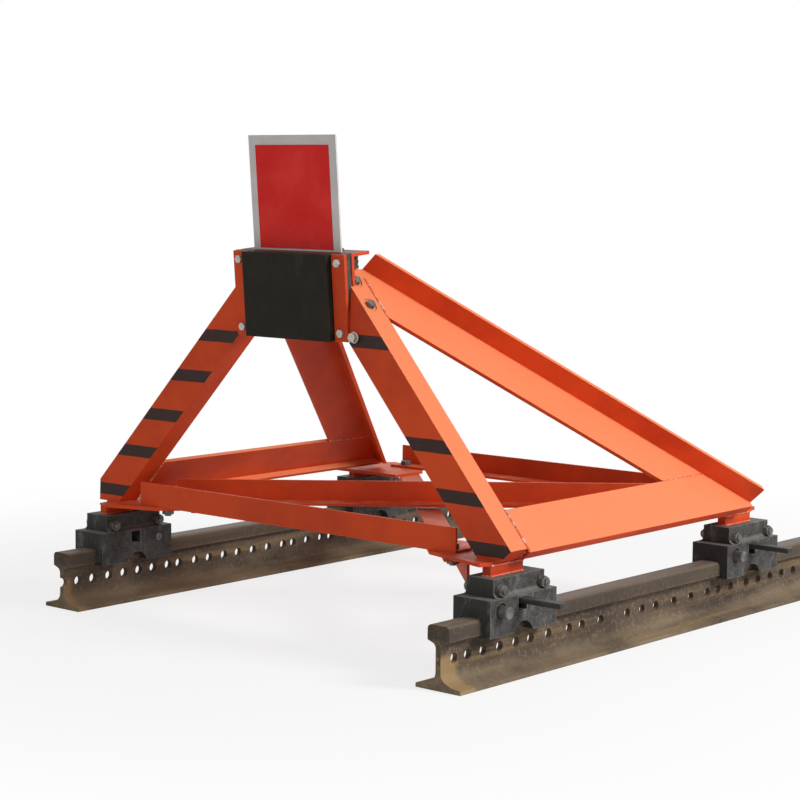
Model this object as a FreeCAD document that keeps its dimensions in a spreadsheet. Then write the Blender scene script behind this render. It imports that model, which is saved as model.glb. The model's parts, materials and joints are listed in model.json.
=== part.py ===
import FreeCAD, Part
import Sketcher
import math
import os
import re

# Friction buffer stop clamped on two rails, in millimetres.
# X runs across the track to the right, Y runs rearwards (the striking face looks to -Y), Z is up.
# The origin is on the track centre line, on the plane of the rail feet, level with the front of the
# front clamps.

# Driving dimensions: name, value, what it is
SIZES = (
    ("rail_gauge", 1435, "between the inner faces of the rail heads"),
    ("rail_head", 72, "width of a rail head"),
    ("rail_centre", "=(rail_gauge + rail_head) / 2", "track centre to the middle of a rail"),
    ("rail_height", 172, "height of a rail"),
    ("rail_foot", 150, "width of a rail foot"),
    ("rail_foot_edge", 11.5, "thickness of the foot at its edge"),
    ("rail_foot_knee", 45, "half width where the foot gets steeper"),
    ("rail_knee_rise", 3, "rise of the foot from its edge to the knee"),
    ("rail_foot_height", 31, "height where the foot meets the web"),
    ("rail_web", 16.5, "thickness of the web"),
    ("rail_head_depth", 51, "head top down to where its underside meets the web"),
    ("rail_head_slope", 2.75, "run of the head underside for each unit of rise"),
    ("rail_head_round", 13, "radius of the upper head corners"),
    ("rail_foot_fillet", 28, "radius between web and foot"),
    ("rail_neck_fillet", 16, "radius between web and head"),
    ("rail_front_left", -108, "sawn front end of the left rail"),
    ("rail_front_right", -135, "sawn front end of the right rail"),
    ("rail_rear", 1900, "rear ends of both rails"),
    ("web_hole", 28, "diameter of the web holes"),
    ("web_hole_height", 80, "height of the web holes"),
    ("clamp_pitch", 1143, "front clamps to rear clamps"),
    ("jaw_length", 287, "length of a lower jaw"),
    ("jaw_half_width", 62, "rail centre to the side of a lower jaw"),
    ("jaw_bottom", 123, "underside of the jaws"),
    ("jaw_ledge", 223, "top of the lower jaws"),
    ("jaw_top", 273, "top of the upper blocks"),
    ("jaw_split", 1.6, "gap between inner and outer jaw"),
    ("upper_half_width", 45, "rail centre to the side of an upper block"),
    ("upper_start", 33, "jaw front to upper block front"),
    ("upper_length", 220, "length of an upper block"),
    ("hook_reach", 24, "rail centre to the tip of the hook under the head"),
    ("head_clearance", 0.8, "side and underside of the rail head to the jaw"),
    ("tread_clearance", 0.5, "rail head top to the jaw"),
    ("arch_radius", 43.5, "radius of the arch under the jaws"),
    ("arch_crown", 152, "top of the arch"),
    ("slot_size", 36, "side of the square hole"),
    ("slot_start", 120, "jaw front to the square hole"),
    ("slot_bottom", 181, "bottom of the square hole"),
    ("key_width", 30, "width of a key bar"),
    ("key_thickness", 15, "thickness of a key bar"),
    ("key_reach_out", 196.5, "rail centre to the outer end of a key bar"),
    ("key_reach_in", 53.5, "rail centre to the inner end of a key bar"),
    ("key_clearance", 0.5, "key bar to the top of the square hole"),
    ("cross_bolt", 20, "diameter of the cross bolts"),
    ("cross_bolt_height", 241, "height of the upper cross bolts"),
    ("cross_bolt_near", 60, "jaw front to the first upper cross bolt"),
    ("cross_bolt_far", 240, "jaw front to the second upper cross bolt"),
    ("bolt_play", 0.5, "gap round the bolts in their holes"),
    ("nut_flats", 30, "across the flats of the large nuts"),
    ("nut_height", 13, "height of the large nuts"),
    ("bolt_end", 7, "bolt end beyond its nut"),
    ("washer_size", 34, "diameter of the large washers"),
    ("washer_thickness", 3, "thickness of the large washers"),
    ("jaw_bolt_height", 189, "height of the lower bolts"),
    ("jaw_bolt_near", 48, "jaw front to the lower front bolt"),
    ("jaw_bolt_far", 232, "jaw front to the lower rear bolt"),
    ("round_head", 33, "diameter of the round head of a lower bolt"),
    ("round_head_length", 28, "how far the round head stands out"),
    ("recess_size", 46, "diameter of the recess round that head"),
    ("recess_depth", 6, "depth of the recesses in the jaws"),
    ("boss_size", 26, "diameter of the boss of the lower rear bolt"),
    ("boss_recess", 31, "diameter of its recess"),
    ("riser_thickness", 28, "thickness of a riser plate"),
    ("riser_start", 60, "jaw front to a riser plate"),
    ("riser_length", 140, "length of a riser plate"),
    ("plate_underside", 302, "underside of the gusset plates"),
    ("plate_thickness", 10, "thickness of the gusset plates"),
    ("gusset_reach_in", 263.5, "rail centre to the inner corner of a gusset plate"),
    ("gusset_reach_out", 15, "rail centre to the outer edge of a gusset plate"),
    ("gusset_inner", "=rail_centre - gusset_reach_in", "track centre to that inner corner"),
    ("gusset_outer", "=rail_centre + gusset_reach_out", "track centre to that outer edge"),
    ("gusset_front", 22, "jaw front to the front corner of a gusset plate"),
    ("gusset_depth", 250, "depth of a gusset plate"),
    ("gusset_shoulder", 108, "front corner to the inner corner of a gusset plate, along the track"),
    ("gusset_bevel", 48, "run of the short bevel at that inner corner"),
    ("gusset_toe", 63, "run of the bevel at the outer front corner of the left plates"),
    ("side_overhang", 75, "rail centre to the lower outer corner of a side frame"),
    ("side_foot", "=rail_centre + side_overhang", "track centre to that corner"),
    ("side_base", 333.8, "height of that corner"),
    ("head_bottom", 853.5, "lower edge of the rubber face, above the rail feet"),
    ("strip_outer", 216, "half width of the head"),
    ("lean_rise", 146.5, "lower edge of the rubber face up to where the side frames pass the head"),
    ("lean_margin", 10.542, "side of the head out to the side frames, at that height"),
    ("lean_run", "=side_foot - strip_outer - lean_margin", "side frame's foot in to that place"),
    ("side_lean", "=atan(lean_run / (head_bottom + lean_rise - side_base)) / 1 deg", "lean in degrees"),
    ("beam_depth", 139, "depth of a base beam"),
    ("beam_wall", 12, "wall of the base beams and rear struts"),
    ("beam_flange", 32, "flange of a base beam"),
    ("beam_rear", 1258, "rear end of the base beams and of the feet of the rear struts"),
    ("strut_front", 77.8, "front edge of a front strut at its foot"),
    ("strut_rake", 0.0423, "how far a front strut goes rearwards for each unit of its length"),
    ("strut_width", 74, "width of a front strut"),
    ("strut_depth", 106, "depth of a front strut"),
    ("strut_wall", 6, "wall of a front strut"),
    ("nose_overhang", 36.5, "rail centre to the trimmed foot of the left strut"),
    ("strut_cut", 13, "square-cut foot of the right strut, up the side frame"),
    ("strut_plug", 64, "closed foot of a front strut, up the side frame"),
    ("brace_slope", 1.095, "how far a rear strut goes rearwards for each unit down"),
    ("brace_lower", 1061, "lower edge of a rear strut, carried on to the side frame foot"),
    ("brace_root", 1272, "flange of a rear strut, carried on to the side frame foot"),
    ("brace_flange", 65, "flange of a rear strut"),
    ("brace_lead", 15, "flange of the left rear strut ahead of that of the right one"),
    ("brace_rise", 201.5, "lower edge of the rubber face up to the top of a rear strut"),
    ("brace_top", "=(head_bottom + brace_rise - side_base) / cos(side_lean * 1 deg)",
     "length up the side frame where a rear strut ends"),
    ("angle_leg", 70, "legs of the angles of the lower frame"),
    ("angle_wall", 8, "wall of those angles"),
    ("cross_gap", 132.5, "rail centre to an end of the front cross beam"),
    ("cross_half", "=rail_centre - cross_gap", "half length of the front cross beam"),
    ("cross_front", 93, "front face of the front cross beam"),
    ("rear_gap", 113.5, "rail centre to an end of the rear cross beam"),
    ("rear_half", "=rail_centre - rear_gap", "half length of the rear cross beam"),
    ("cross_rear", 1348, "rear face of the rear cross beam"),
    ("diagonal_gap", 163.5, "rail centre to an end of the upper diagonal"),
    ("diagonal_half", "=rail_centre - diagonal_gap", "half span of the upper diagonal"),
    ("diagonal_front", 219, "front end of the upper diagonal"),
    ("diagonal_rear", 1220, "rear end of the upper diagonal"),
    ("under_gap", 91.5, "rail centre to the front right end of the lower diagonal"),
    ("under_start", "=rail_centre - under_gap", "track centre to that end"),
    ("under_far_gap", 163.8, "rail centre to the rear left end of the lower diagonal"),
    ("under_end", "=rail_centre - under_far_gap", "track centre to that end"),
    ("under_front", 104, "front end of the lower diagonal"),
    ("under_rear", 1355.9, "rear end of the lower diagonal"),
    ("under_bolt_front", 63, "front end of the lower diagonal to its bolt"),
    ("under_bolt_rear", 40, "rear end of the lower diagonal to its bolt"),
    ("cross_bolt_inset", 81, "end of a cross beam to its gusset bolt"),
    ("diagonal_bolt_inset", 55, "end of a diagonal to its gusset bolt"),
    ("gusset_bolt", 20, "diameter of the gusset bolts"),
    ("gusset_nut_flats", 32, "across the flats of their nuts and heads"),
    ("gusset_nut_height", 15, "height of their nuts and heads"),
    ("plate_bolt", 16, "diameter of the strut and head bolts"),
    ("plate_nut_flats", 24, "across the flats of their heads"),
    ("plate_nut_height", 12, "height of their heads"),
    ("head_lean", 4.76, "forward lean of the striking head, in degrees"),
    ("head_front", 88, "lower edge of the rubber face, along the track"),
    ("pad_half", 164, "half width of the rubber pad"),
    ("pad_height", 244, "height of the rubber pad"),
    ("pad_thickness", 30, "thickness of the rubber pad"),
    ("strip_gap", 3, "rubber pad to a clamping strip"),
    ("strip_thickness", 10, "thickness of a clamping strip"),
    ("head_margin", 1, "head plates beyond the rubber pad, above and below"),
    ("backing_thickness", 12, "thickness of the backing plate"),
    ("spacer_thickness", 9, "thickness of the spacer plate"),
    ("spacer_setback", 3, "edge of the spacer plate inside the backing plate"),
    ("channel_wall", 10, "wall of the head channel"),
    ("channel_flange", 75, "flange of the head channel"),
    ("strip_bolt", 14, "diameter of the strip bolts"),
    ("strip_bolt_flats", 21, "across the flats of their heads"),
    ("strip_bolt_head", 9, "height of their heads"),
    ("strip_bolt_edge", 24, "strip bolts from the edges of the pad"),
    ("strut_drop", 39, "flange of the head channel down to the tops of the front struts"),
    ("strut_top", "=pad_height + head_margin - channel_wall - strut_drop", "those tops, up the head"),
    ("shim_outer", 186, "track centre to the outer edge of the shims"),
    ("shim_width", 130, "width of the shims"),
    ("shim_depth", 52, "depth of the shims"),
    ("shim_thickness", "=strut_drop / 5", "thickness of one of the five shims"),
    ("shim_stagger", 2, "every other shim inside its neighbours"),
    ("low_bolt_rise", 106.5, "lower edge of the rubber face up to the lower strut bolt"),
    ("high_bolt_rise", 170.3, "lower edge of the rubber face up to the upper strut bolt"),
    ("side_bolt_low", "=(head_bottom + low_bolt_rise - side_base) / cos(side_lean * 1 deg)",
     "lower strut bolt, up the side frame"),
    ("side_bolt_high", "=(head_bottom + high_bolt_rise - side_base) / cos(side_lean * 1 deg)",
     "upper strut bolt, up the side frame"),
    ("side_bolt_back", 34, "strut bolts behind the front edge of the strut"),
    ("lug_bolt_inset", 38, "head bolt inside the strut, from its inner face"),
    ("lug_bolt_rise", 16.5, "lower edge of the rubber face up to the head bolt"),
    ("lug_bolt_height", "=head_bottom + lug_bolt_rise", "height of the head bolt"),
    ("board_half", 169, "half width of the signal board"),
    ("board_height", 327, "height of the signal board"),
    ("board_thickness", 6, "thickness of the signal board"),
    ("board_setback", 60, "rubber face to the signal board"),
    ("panel_half", 142, "half width of the red panel"),
    ("panel_height", 293, "height of the red panel"),
    ("panel_thickness", 2, "thickness of the red panel"),
    ("panel_bottom", 6, "lower edge of the board to the red panel"),
    ("bracket_half", 130, "half width of the board bracket"),
    ("bracket_leg", 50, "legs of the board bracket"),
    ("bracket_wall", 6, "wall of the board bracket"),
)

# Steps from hole to hole along each web, as drilled by hand; the last step repeats to the rear end
HOLE_STEPS_RIGHT = (55, 65, 70, 70, 65, 80, 95, 60, 90, 130, 75, 70, 95, 90, 90, 60, 70, 90, 70)
HOLE_STEPS_LEFT = (57, 60, 65, 62, 62, 60, 65, 47, 73, 61, 68, 64, 70, 71, 73, 48, 70, 70, 46, 65)
FIRST_HOLE_RIGHT = -80
FIRST_HOLE_LEFT = -108

doc = FreeCAD.newDocument("BufferStop")
sheet = doc.addObject("Spreadsheet::Sheet", "Sizes")
for row, (name, value, meaning) in enumerate(SIZES, start=1):
    sheet.set(f"A{row}", meaning)
    sheet.set(f"B{row}", str(value))
    sheet.setAlias(f"B{row}", name)
doc.recompute()

ALIASES = {size[0] for size in SIZES}
PLANE_AXES = {"XY_Plane": (0, 1), "XZ_Plane": (0, 2), "YZ_Plane": (1, 2)}
SIDE_AXIS = (0, -1, 0)
HEAD_AXIS = (1, 0, 0)
nodes = []


# Binding to the sheet

def sized(expression):
    """Return the expression with every size name pointing at its cell."""
    return re.sub(r"[a-z]+(_[a-z]+)+", lambda word: "Sizes." + word.group(0)
                  if word.group(0) in ALIASES else word.group(0), expression)


def bind(item, field, expression):
    """Tie one property of an object to the sheet."""
    item.setExpression(field, sized(expression))


def place(item, corner, axis=(0, 0, 1), angle="0"):
    """Put an object at a corner given as three expressions, turned about an axis."""
    item.Placement = FreeCAD.Placement(FreeCAD.Vector(), FreeCAD.Rotation(FreeCAD.Vector(*axis), 1))
    for letter, value in zip("xyz", corner):
        bind(item, "Placement.Base." + letter, value)
    bind(item, "Placement.Rotation.Angle", angle)
    return item


def in_side(out, along, up):
    """World place of a point of the right side frame: out of its face, along the track, up the lean."""
    turn = "side_lean * 1 deg"
    return (f"side_foot + ({out}) * cos({turn}) - ({up}) * sin({turn})", along,
            f"side_base + ({out}) * sin({turn}) + ({up}) * cos({turn})")


def in_head(across, back, up):
    """World place of a point of the leaning head: across, behind the rubber face, up from its edge."""
    turn = "head_lean * 1 deg"
    return (across, f"head_front + ({back}) * cos({turn}) - ({up}) * sin({turn})",
            f"head_bottom + ({back}) * sin({turn}) + ({up}) * cos({turn})")


# Shapes

def keep(item, label):
    """Name a finished sub-part and keep it for the export."""
    item.Label = label
    nodes.append(item)
    return item


def prism(name, plane, corners, depth, backwards=False, rounds=()):
    """Pad a closed outline; corners are pairs of expressions, rounds are (radius, corner numbers)."""
    body = doc.addObject("PartDesign::Body", name)
    outline = body.newObject("Sketcher::SketchObject", name + "_outline")
    support = [item for item in body.Origin.OriginFeatures if item.Role == plane][0]
    outline.AttachmentSupport = (support, [""])
    outline.MapMode = "FlatFace"
    count = len(corners)
    turn = 2 * math.pi / count
    ring = [FreeCAD.Vector(100 * math.cos(turn * i), 100 * math.sin(turn * i), 0) for i in range(count)]
    for i in range(count):
        outline.addGeometry(Part.LineSegment(ring[i], ring[(i + 1) % count]), False)
    for i in range(count):
        outline.addConstraint(Sketcher.Constraint("Coincident", i, 2, (i + 1) % count, 1))
    for i, (across, up) in enumerate(corners):
        for kind, start, value in (("DistanceX", ring[i].x, across), ("DistanceY", ring[i].y, up)):
            index = outline.addConstraint(Sketcher.Constraint(kind, -1, 1, i, 1, start))
            bind(outline, f"Constraints[{index}]", value)
    pad = body.newObject("PartDesign::Pad", name + "_pad")
    pad.Profile = outline
    pad.Reversed = backwards
    bind(pad, "Length", depth)
    outline.Visibility = False
    for number, (radius, picks) in enumerate(rounds):
        doc.recompute()
        first, second = PLANE_AXES[plane]
        spots = [outline.getPoint(pick, 1) for pick in picks]
        last = body.Tip.Shape
        chosen = []
        for index, edge in enumerate(last.Edges, start=1):
            ends = [vertex.Point for vertex in edge.Vertexes]
            if any(all(math.hypot(end[first] - spot.x, end[second] - spot.y) < 0.01 for end in ends)
                   for spot in spots):
                chosen.append(f"Edge{index}")
        fillet = body.newObject("PartDesign::Fillet", f"{name}_round_{number}")
        fillet.Base = (pad if number == 0 else previous, chosen)
        bind(fillet, "Radius", radius)
        body.Tip = fillet
        previous = fillet
    return body


def box(name, corner, size, axis=(0, 0, 1), angle="0"):
    """Block from a corner with three sizes."""
    item = doc.addObject("Part::Box", name)
    for field, value in zip(("Length", "Width", "Height"), size):
        bind(item, field, value)
    return place(item, corner, axis, angle)


def rod(name, start, radius, length, axis=(0, 0, 1), angle="0"):
    """Round bar; with no turn it stands upright."""
    item = doc.addObject("Part::Cylinder", name)
    bind(item, "Radius", radius)
    bind(item, "Height", length)
    return place(item, start, axis, angle)


def hexagon(name, start, flats, height, axis=(0, 0, 1), angle="0"):
    """Hexagonal bar, for nuts and bolt heads."""
    item = doc.addObject("Part::Prism", name)
    item.Polygon = 6
    bind(item, "Circumradius", f"({flats}) / sqrt(3)")
    bind(item, "Height", height)
    return place(item, start, axis, angle)


def group(name, items):
    """Separate solids in one sub-part."""
    item = doc.addObject("Part::Compound", name)
    item.Links = items
    return item


def join(name, items):
    """One solid of several."""
    item = doc.addObject("Part::MultiFuse", name)
    item.Shapes = items
    return item


def cut(name, base, tools):
    """Base less all the tools."""
    item = doc.addObject("Part::Cut", name)
    item.Base = base
    item.Tool = tools[0] if len(tools) == 1 else join(name + "_tools", tools)
    return item


def mirrored(name, source):
    """The same piece on the left side of the track."""
    item = doc.addObject("Part::Mirroring", name)
    item.Source = source
    item.Normal = FreeCAD.Vector(1, 0, 0)
    return item


def both_sides(name, source):
    """Keep a right-hand piece and its mirror image."""
    keep(source, name + "_right")
    keep(mirrored(name + "_left", source), name + "_left")


ACROSS = {"axis": (0, 1, 0), "angle": "90"}
INWARDS = {"axis": (0, -1, 0), "angle": "90"}
LENGTHWISE = {"axis": (-1, 0, 0), "angle": "90"}

# Rails

RAIL_X = "rail_centre"
NECK = "(rail_height - rail_head_depth)"


def head_underside(across):
    """Height of the sloping underside of the rail head at a distance from the rail centre."""
    return f"{NECK} + (({across}) - rail_web / 2) / rail_head_slope"


def rail(label, side, front, first_hole, steps):
    """Rail with sawn ends and a hand-drilled row of holes in its web."""
    half = [("rail_foot / 2", "0"), ("rail_foot / 2", "rail_foot_edge"),
            ("rail_foot_knee", "rail_foot_edge + rail_knee_rise"), ("rail_web / 2", "rail_foot_height"),
            ("rail_web / 2", NECK), ("rail_head / 2", head_underside("rail_head / 2")),
            ("rail_head / 2", "rail_height")]
    outline = half + [(f"-({across})", up) for across, up in reversed(half)]
    bar = prism(label + "_bar", "XZ_Plane", outline, f"rail_rear - ({front})", True,
                (("rail_head_round", (6, 7)), ("rail_foot_fillet", (3, 10)), ("rail_neck_fillet", (4, 9))))
    place(bar, (f"{side} * {RAIL_X}", front, "0"))
    drills = []
    along = first_hole
    number = 0
    rear = float(sheet.get("rail_rear")) - float(sheet.get("web_hole"))
    while along < rear:
        start = (f"{side} * {RAIL_X} - rail_web", str(along), "web_hole_height")
        drills.append(rod(f"{label}_hole_{number}", start, "web_hole / 2", "2 * rail_web", **ACROSS))
        along += steps[min(number, len(steps) - 1)]
        number += 1
    keep(cut(label, bar, drills), label)


rail("rail_left", -1, "rail_front_left", FIRST_HOLE_LEFT, HOLE_STEPS_LEFT)
rail("rail_right", 1, "rail_front_right", FIRST_HOLE_RIGHT, HOLE_STEPS_RIGHT)

# Rail clamps


def jaw_outline(facing, points):
    """Turn an outline of the outer jaw into one of the inner jaw where facing is -1."""
    return [(f"{facing} * ({across})", up) for across, up in points]


def jaw(name, end, facing, cuts):
    """Half of a clamp: lower jaw hooked under the rail head, narrower block above a cove."""
    gap = "jaw_split / 2"
    side = "rail_head / 2 + head_clearance"
    tread = "rail_height + tread_clearance"
    cove = "(jaw_half_width - upper_half_width)"
    lower = [(gap, tread), (side, tread), (side, head_underside(side) + " - head_clearance"),
             ("hook_reach", head_underside("hook_reach") + " - head_clearance"),
             ("hook_reach", "jaw_bottom"), ("jaw_half_width", "jaw_bottom"),
             ("jaw_half_width", "jaw_ledge"), (gap, "jaw_ledge")]
    upper = [(gap, "jaw_ledge"), ("jaw_half_width", "jaw_ledge"), ("jaw_half_width", f"jaw_ledge + {cove}"),
             ("upper_half_width", f"jaw_ledge + {cove}"), ("upper_half_width", "jaw_top"), (gap, "jaw_top")]
    below = prism(name + "_lower", "XZ_Plane", jaw_outline(facing, lower), "jaw_length", True)
    place(below, (RAIL_X, end, "0"))
    above = prism(name + "_upper", "XZ_Plane", jaw_outline(facing, upper), "upper_length", True)
    place(above, (RAIL_X, f"{end} + upper_start", "0"))
    hollow = rod(name + "_cove", (f"{RAIL_X} + {facing} * jaw_half_width", end, f"jaw_ledge + {cove}"),
                 cove, "jaw_length", **LENGTHWISE)
    outwards = ACROSS if facing > 0 else INWARDS
    spots = [rod(f"{name}_spot_{along}", (f"{RAIL_X} + {facing} * upper_half_width", f"{end} + {along}",
                                          "cross_bolt_height"), "washer_size / 2 + 1", cove, **outwards)
             for along in ("cross_bolt_near", "cross_bolt_far")]
    return cut(name, join(name + "_blank", [below, above]), [hollow] + spots + cuts)


def clamp_cuts(name, end):
    """Holes that pass through both jaws: arch, square hole and bolt holes."""
    start = f"{RAIL_X} - 2 * jaw_half_width"
    length = "4 * jaw_half_width"
    cuts = [rod(name + "_arch", (start, f"{end} + jaw_length / 2", "arch_crown - arch_radius"),
                "arch_radius", length, **ACROSS),
            box(name + "_slot", (start, f"{end} + slot_start", "slot_bottom"),
                (length, "slot_size", "slot_size"))]
    drills = (("near", "cross_bolt_near", "cross_bolt_height"), ("far", "cross_bolt_far", "cross_bolt_height"),
              ("low", "jaw_bolt_far", "jaw_bolt_height"))
    for spot, along, height in drills:
        cuts.append(rod(f"{name}_{spot}", (start, f"{end} + {along}", height),
                        "cross_bolt / 2 + bolt_play", length, **ACROSS))
    return cuts


def upper_bolts(name, end):
    """Two cross bolts with their heads outside, and their nuts and washers."""
    bolts = []
    loose = []
    seat = "(upper_half_width + washer_thickness)"
    for spot, along in (("near", "cross_bolt_near"), ("far", "cross_bolt_far")):
        here = (f"{end} + {along}", "cross_bolt_height")
        head = hexagon(f"{name}_{spot}_head", (f"{RAIL_X} + {seat}",) + here, "nut_flats", "nut_height",
                       **ACROSS)
        tail = f"{RAIL_X} - {seat} - nut_height - bolt_end"
        shank = rod(f"{name}_{spot}_shank", (tail,) + here, "cross_bolt / 2",
                    "2 * (upper_half_width + washer_thickness) + nut_height + bolt_end", **ACROSS)
        point = rod(f"{name}_{spot}_point", (f"{RAIL_X} + {seat} + nut_height",) + here, "cross_bolt / 2",
                    "bolt_end", **ACROSS)
        bolts.append(join(f"{name}_{spot}", [head, shank, point]))
        bore = rod(f"{name}_{spot}_bore", (tail,) + here, "cross_bolt / 2",
                   "4 * upper_half_width", **ACROSS)
        nut = hexagon(f"{name}_{spot}_nut", (f"{RAIL_X} - {seat} - nut_height",) + here, "nut_flats",
                      "nut_height", **ACROSS)
        discs = [rod(f"{name}_{spot}_washer_out", (f"{RAIL_X} + upper_half_width",) + here,
                     "washer_size / 2", "washer_thickness", **ACROSS),
                 rod(f"{name}_{spot}_washer_in", (f"{RAIL_X} - {seat}",) + here,
                     "washer_size / 2", "washer_thickness", **ACROSS)]
        for number, item in enumerate([nut] + discs):
            loose.append(cut(f"{name}_{spot}_ring_{number}", item, [bore]))
    return group(name + "_bolts", bolts), group(name + "_nuts", loose)


def lower_bolts(name, end):
    """Front bolt with a long round head outside; rear bolt right through, with a boss inside."""
    near = (f"{end} + jaw_bolt_near", "jaw_bolt_height")
    far = (f"{end} + jaw_bolt_far", "jaw_bolt_height")
    head = rod(name + "_round_head", (f"{RAIL_X} + jaw_half_width - recess_depth",) + near,
               "round_head / 2", "round_head_length + recess_depth", **ACROSS)
    shank = rod(name + "_shank", (f"{RAIL_X} + rail_web",) + near, "cross_bolt / 2",
                "jaw_half_width - recess_depth - rail_web", **ACROSS)
    through = rod(name + "_through", (f"{RAIL_X} - jaw_half_width",) + far, "cross_bolt / 2",
                  "2 * jaw_half_width + bolt_end", **ACROSS)
    boss = rod(name + "_boss", (f"{RAIL_X} - jaw_half_width - recess_depth / 2",) + far, "boss_size / 2",
               "1.5 * recess_depth", **ACROSS)
    return group(name + "_pair", [join(name + "_front", [head, shank]), join(name + "_rear", [through, boss])])


def clamp(end_name, end):
    """One clamp on the right rail, mirrored to the left rail."""
    name = "clamp_" + end_name
    shared = clamp_cuts(name, end)
    near = (f"{end} + jaw_bolt_near", "jaw_bolt_height")
    far = (f"{end} + jaw_bolt_far", "jaw_bolt_height")
    recess = rod(name + "_recess", (f"{RAIL_X} + jaw_half_width - recess_depth",) + near,
                 "recess_size / 2", "2 * recess_depth", **ACROSS)
    blind = rod(name + "_blind", (f"{RAIL_X} + rail_web",) + near, "cross_bolt / 2 + bolt_play",
                "jaw_half_width", **ACROSS)
    pocket = rod(name + "_pocket", (f"{RAIL_X} - jaw_half_width - recess_depth",) + far,
                 "boss_recess / 2", "2 * recess_depth", **ACROSS)
    both_sides("outer_jaw_" + end_name, jaw(name + "_outer", end, 1, shared + [recess, blind]))
    both_sides("inner_jaw_" + end_name, jaw(name + "_inner", end, -1, shared + [pocket]))
    bolts, nuts = upper_bolts(name + "_upper_set", end)
    both_sides("cross_bolts_" + end_name, bolts)
    both_sides("cross_nuts_" + end_name, nuts)
    both_sides("jaw_bolts_" + end_name, lower_bolts(name + "_lower_set", end))
    riser = box(name + "_riser", (f"{RAIL_X} - riser_thickness / 2", f"{end} + riser_start", "jaw_top"),
                ("riser_thickness", "riser_length", "plate_underside - jaw_top"))
    both_sides("riser_plate_" + end_name, riser)
    key = box(name + "_key", (f"{RAIL_X} - key_reach_in", f"{end} + slot_start + (slot_size - key_width) / 2",
                              "slot_bottom + slot_size - key_clearance - key_thickness"),
              ("key_reach_out + key_reach_in", "key_width", "key_thickness"))
    keep(key, "key_bar_" + end_name)


clamp("front", "0")
clamp("rear", "clamp_pitch")

# Lower frame

PLATE_TOP = "(plate_underside + plate_thickness)"
MIDDLE = "(riser_start + riser_length / 2 + clamp_pitch / 2)"
LEG_MIDDLE = "(angle_leg + angle_wall) / 2"
STACK = "(plate_thickness + angle_wall)"
UPPER_RUN = "(diagonal_rear - diagonal_front)"
UPPER_LENGTH = f"sqrt(4 * diagonal_half ^ 2 + {UPPER_RUN} ^ 2)"
UPPER_ANGLE = f"atan({UPPER_RUN} / (2 * diagonal_half))"
UNDER_RUN = "(under_rear - under_front)"
UNDER_LENGTH = f"sqrt((under_start + under_end) ^ 2 + {UNDER_RUN} ^ 2)"
UNDER_ANGLE = f"atan({UNDER_RUN} / (under_start + under_end))"


def upper_spot(inset):
    """Place on the flat leg of the upper diagonal, at a distance from its front left end."""
    return (f"-diagonal_half + ({inset}) * cos({UPPER_ANGLE}) + {LEG_MIDDLE} * sin({UPPER_ANGLE})",
            f"diagonal_front + ({inset}) * sin({UPPER_ANGLE}) - {LEG_MIDDLE} * cos({UPPER_ANGLE})")


def under_spot(inset):
    """Place on the flat leg of the lower diagonal, at a distance from its front right end."""
    return (f"under_start - ({inset}) * cos({UNDER_ANGLE}) - {LEG_MIDDLE} * sin({UNDER_ANGLE})",
            f"under_front + ({inset}) * sin({UNDER_ANGLE}) - {LEG_MIDDLE} * cos({UNDER_ANGLE})")


# Gusset bolts: place, lowest face of what they hold, and thickness of it
ON_PLATE = ("plate_underside", STACK)
THROUGH_ALL = ("plate_underside - angle_wall", f"({STACK} + angle_wall)")
PLATE_BOLTS = {
    "front_left": ("cross_bolt_inset - cross_half", f"cross_front + {LEG_MIDDLE}") + ON_PLATE,
    "rear_right": ("rear_half - cross_bolt_inset", f"cross_rear - {LEG_MIDDLE}") + ON_PLATE,
    "upper_start": upper_spot("diagonal_bolt_inset") + ON_PLATE,
    "upper_end": upper_spot(f"{UPPER_LENGTH} - diagonal_bolt_inset") + ON_PLATE,
    "front_right": under_spot("under_bolt_front") + THROUGH_ALL,
    "rear_left": under_spot(f"{UNDER_LENGTH} - under_bolt_rear") + THROUGH_ALL,
}


def plate_drills(*spots):
    """Bolt holes through a plate and the angles on it."""
    drills = []
    for spot in spots:
        across, along, low, grip = PLATE_BOLTS[spot]
        drills.append(rod("drill_" + spot, (across, along, low), "gusset_bolt / 2 + bolt_play", grip))
    return drills


def plate_bolt(spot):
    """Upright bolt with its head on the angle and its nut under the plate."""
    name = "plate_bolt_" + spot
    across, along, low, grip = PLATE_BOLTS[spot]
    end = "(gusset_nut_height + gusset_bolt / 4)"
    shank = rod(name + "_shank", (across, along, f"{low} - {end}"), "gusset_bolt / 2", f"{grip} + {end}")
    head = hexagon(name + "_head", (across, along, f"{low} + {grip}"), "gusset_nut_flats", "gusset_nut_height")
    nut = hexagon(name + "_nut", (across, along, f"{low} - gusset_nut_height"), "gusset_nut_flats",
                  "gusset_nut_height")
    return join(name, [shank, head, nut])


def gusset(label, side, corners, rearwards, spots):
    """Flat plate under a corner of the frame; rear plates are the front ones turned about."""
    outline = []
    for across, along in corners:
        here = f"2 * {MIDDLE} - ({along})" if rearwards else along
        outline.append((f"{side} * ({across})", here))
    plate = prism(label + "_plate", "XY_Plane", outline, "plate_thickness")
    place(plate, ("0", "0", "plate_underside"))
    return keep(cut(label + "_drilled", plate, plate_drills(*spots)), label)


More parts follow.
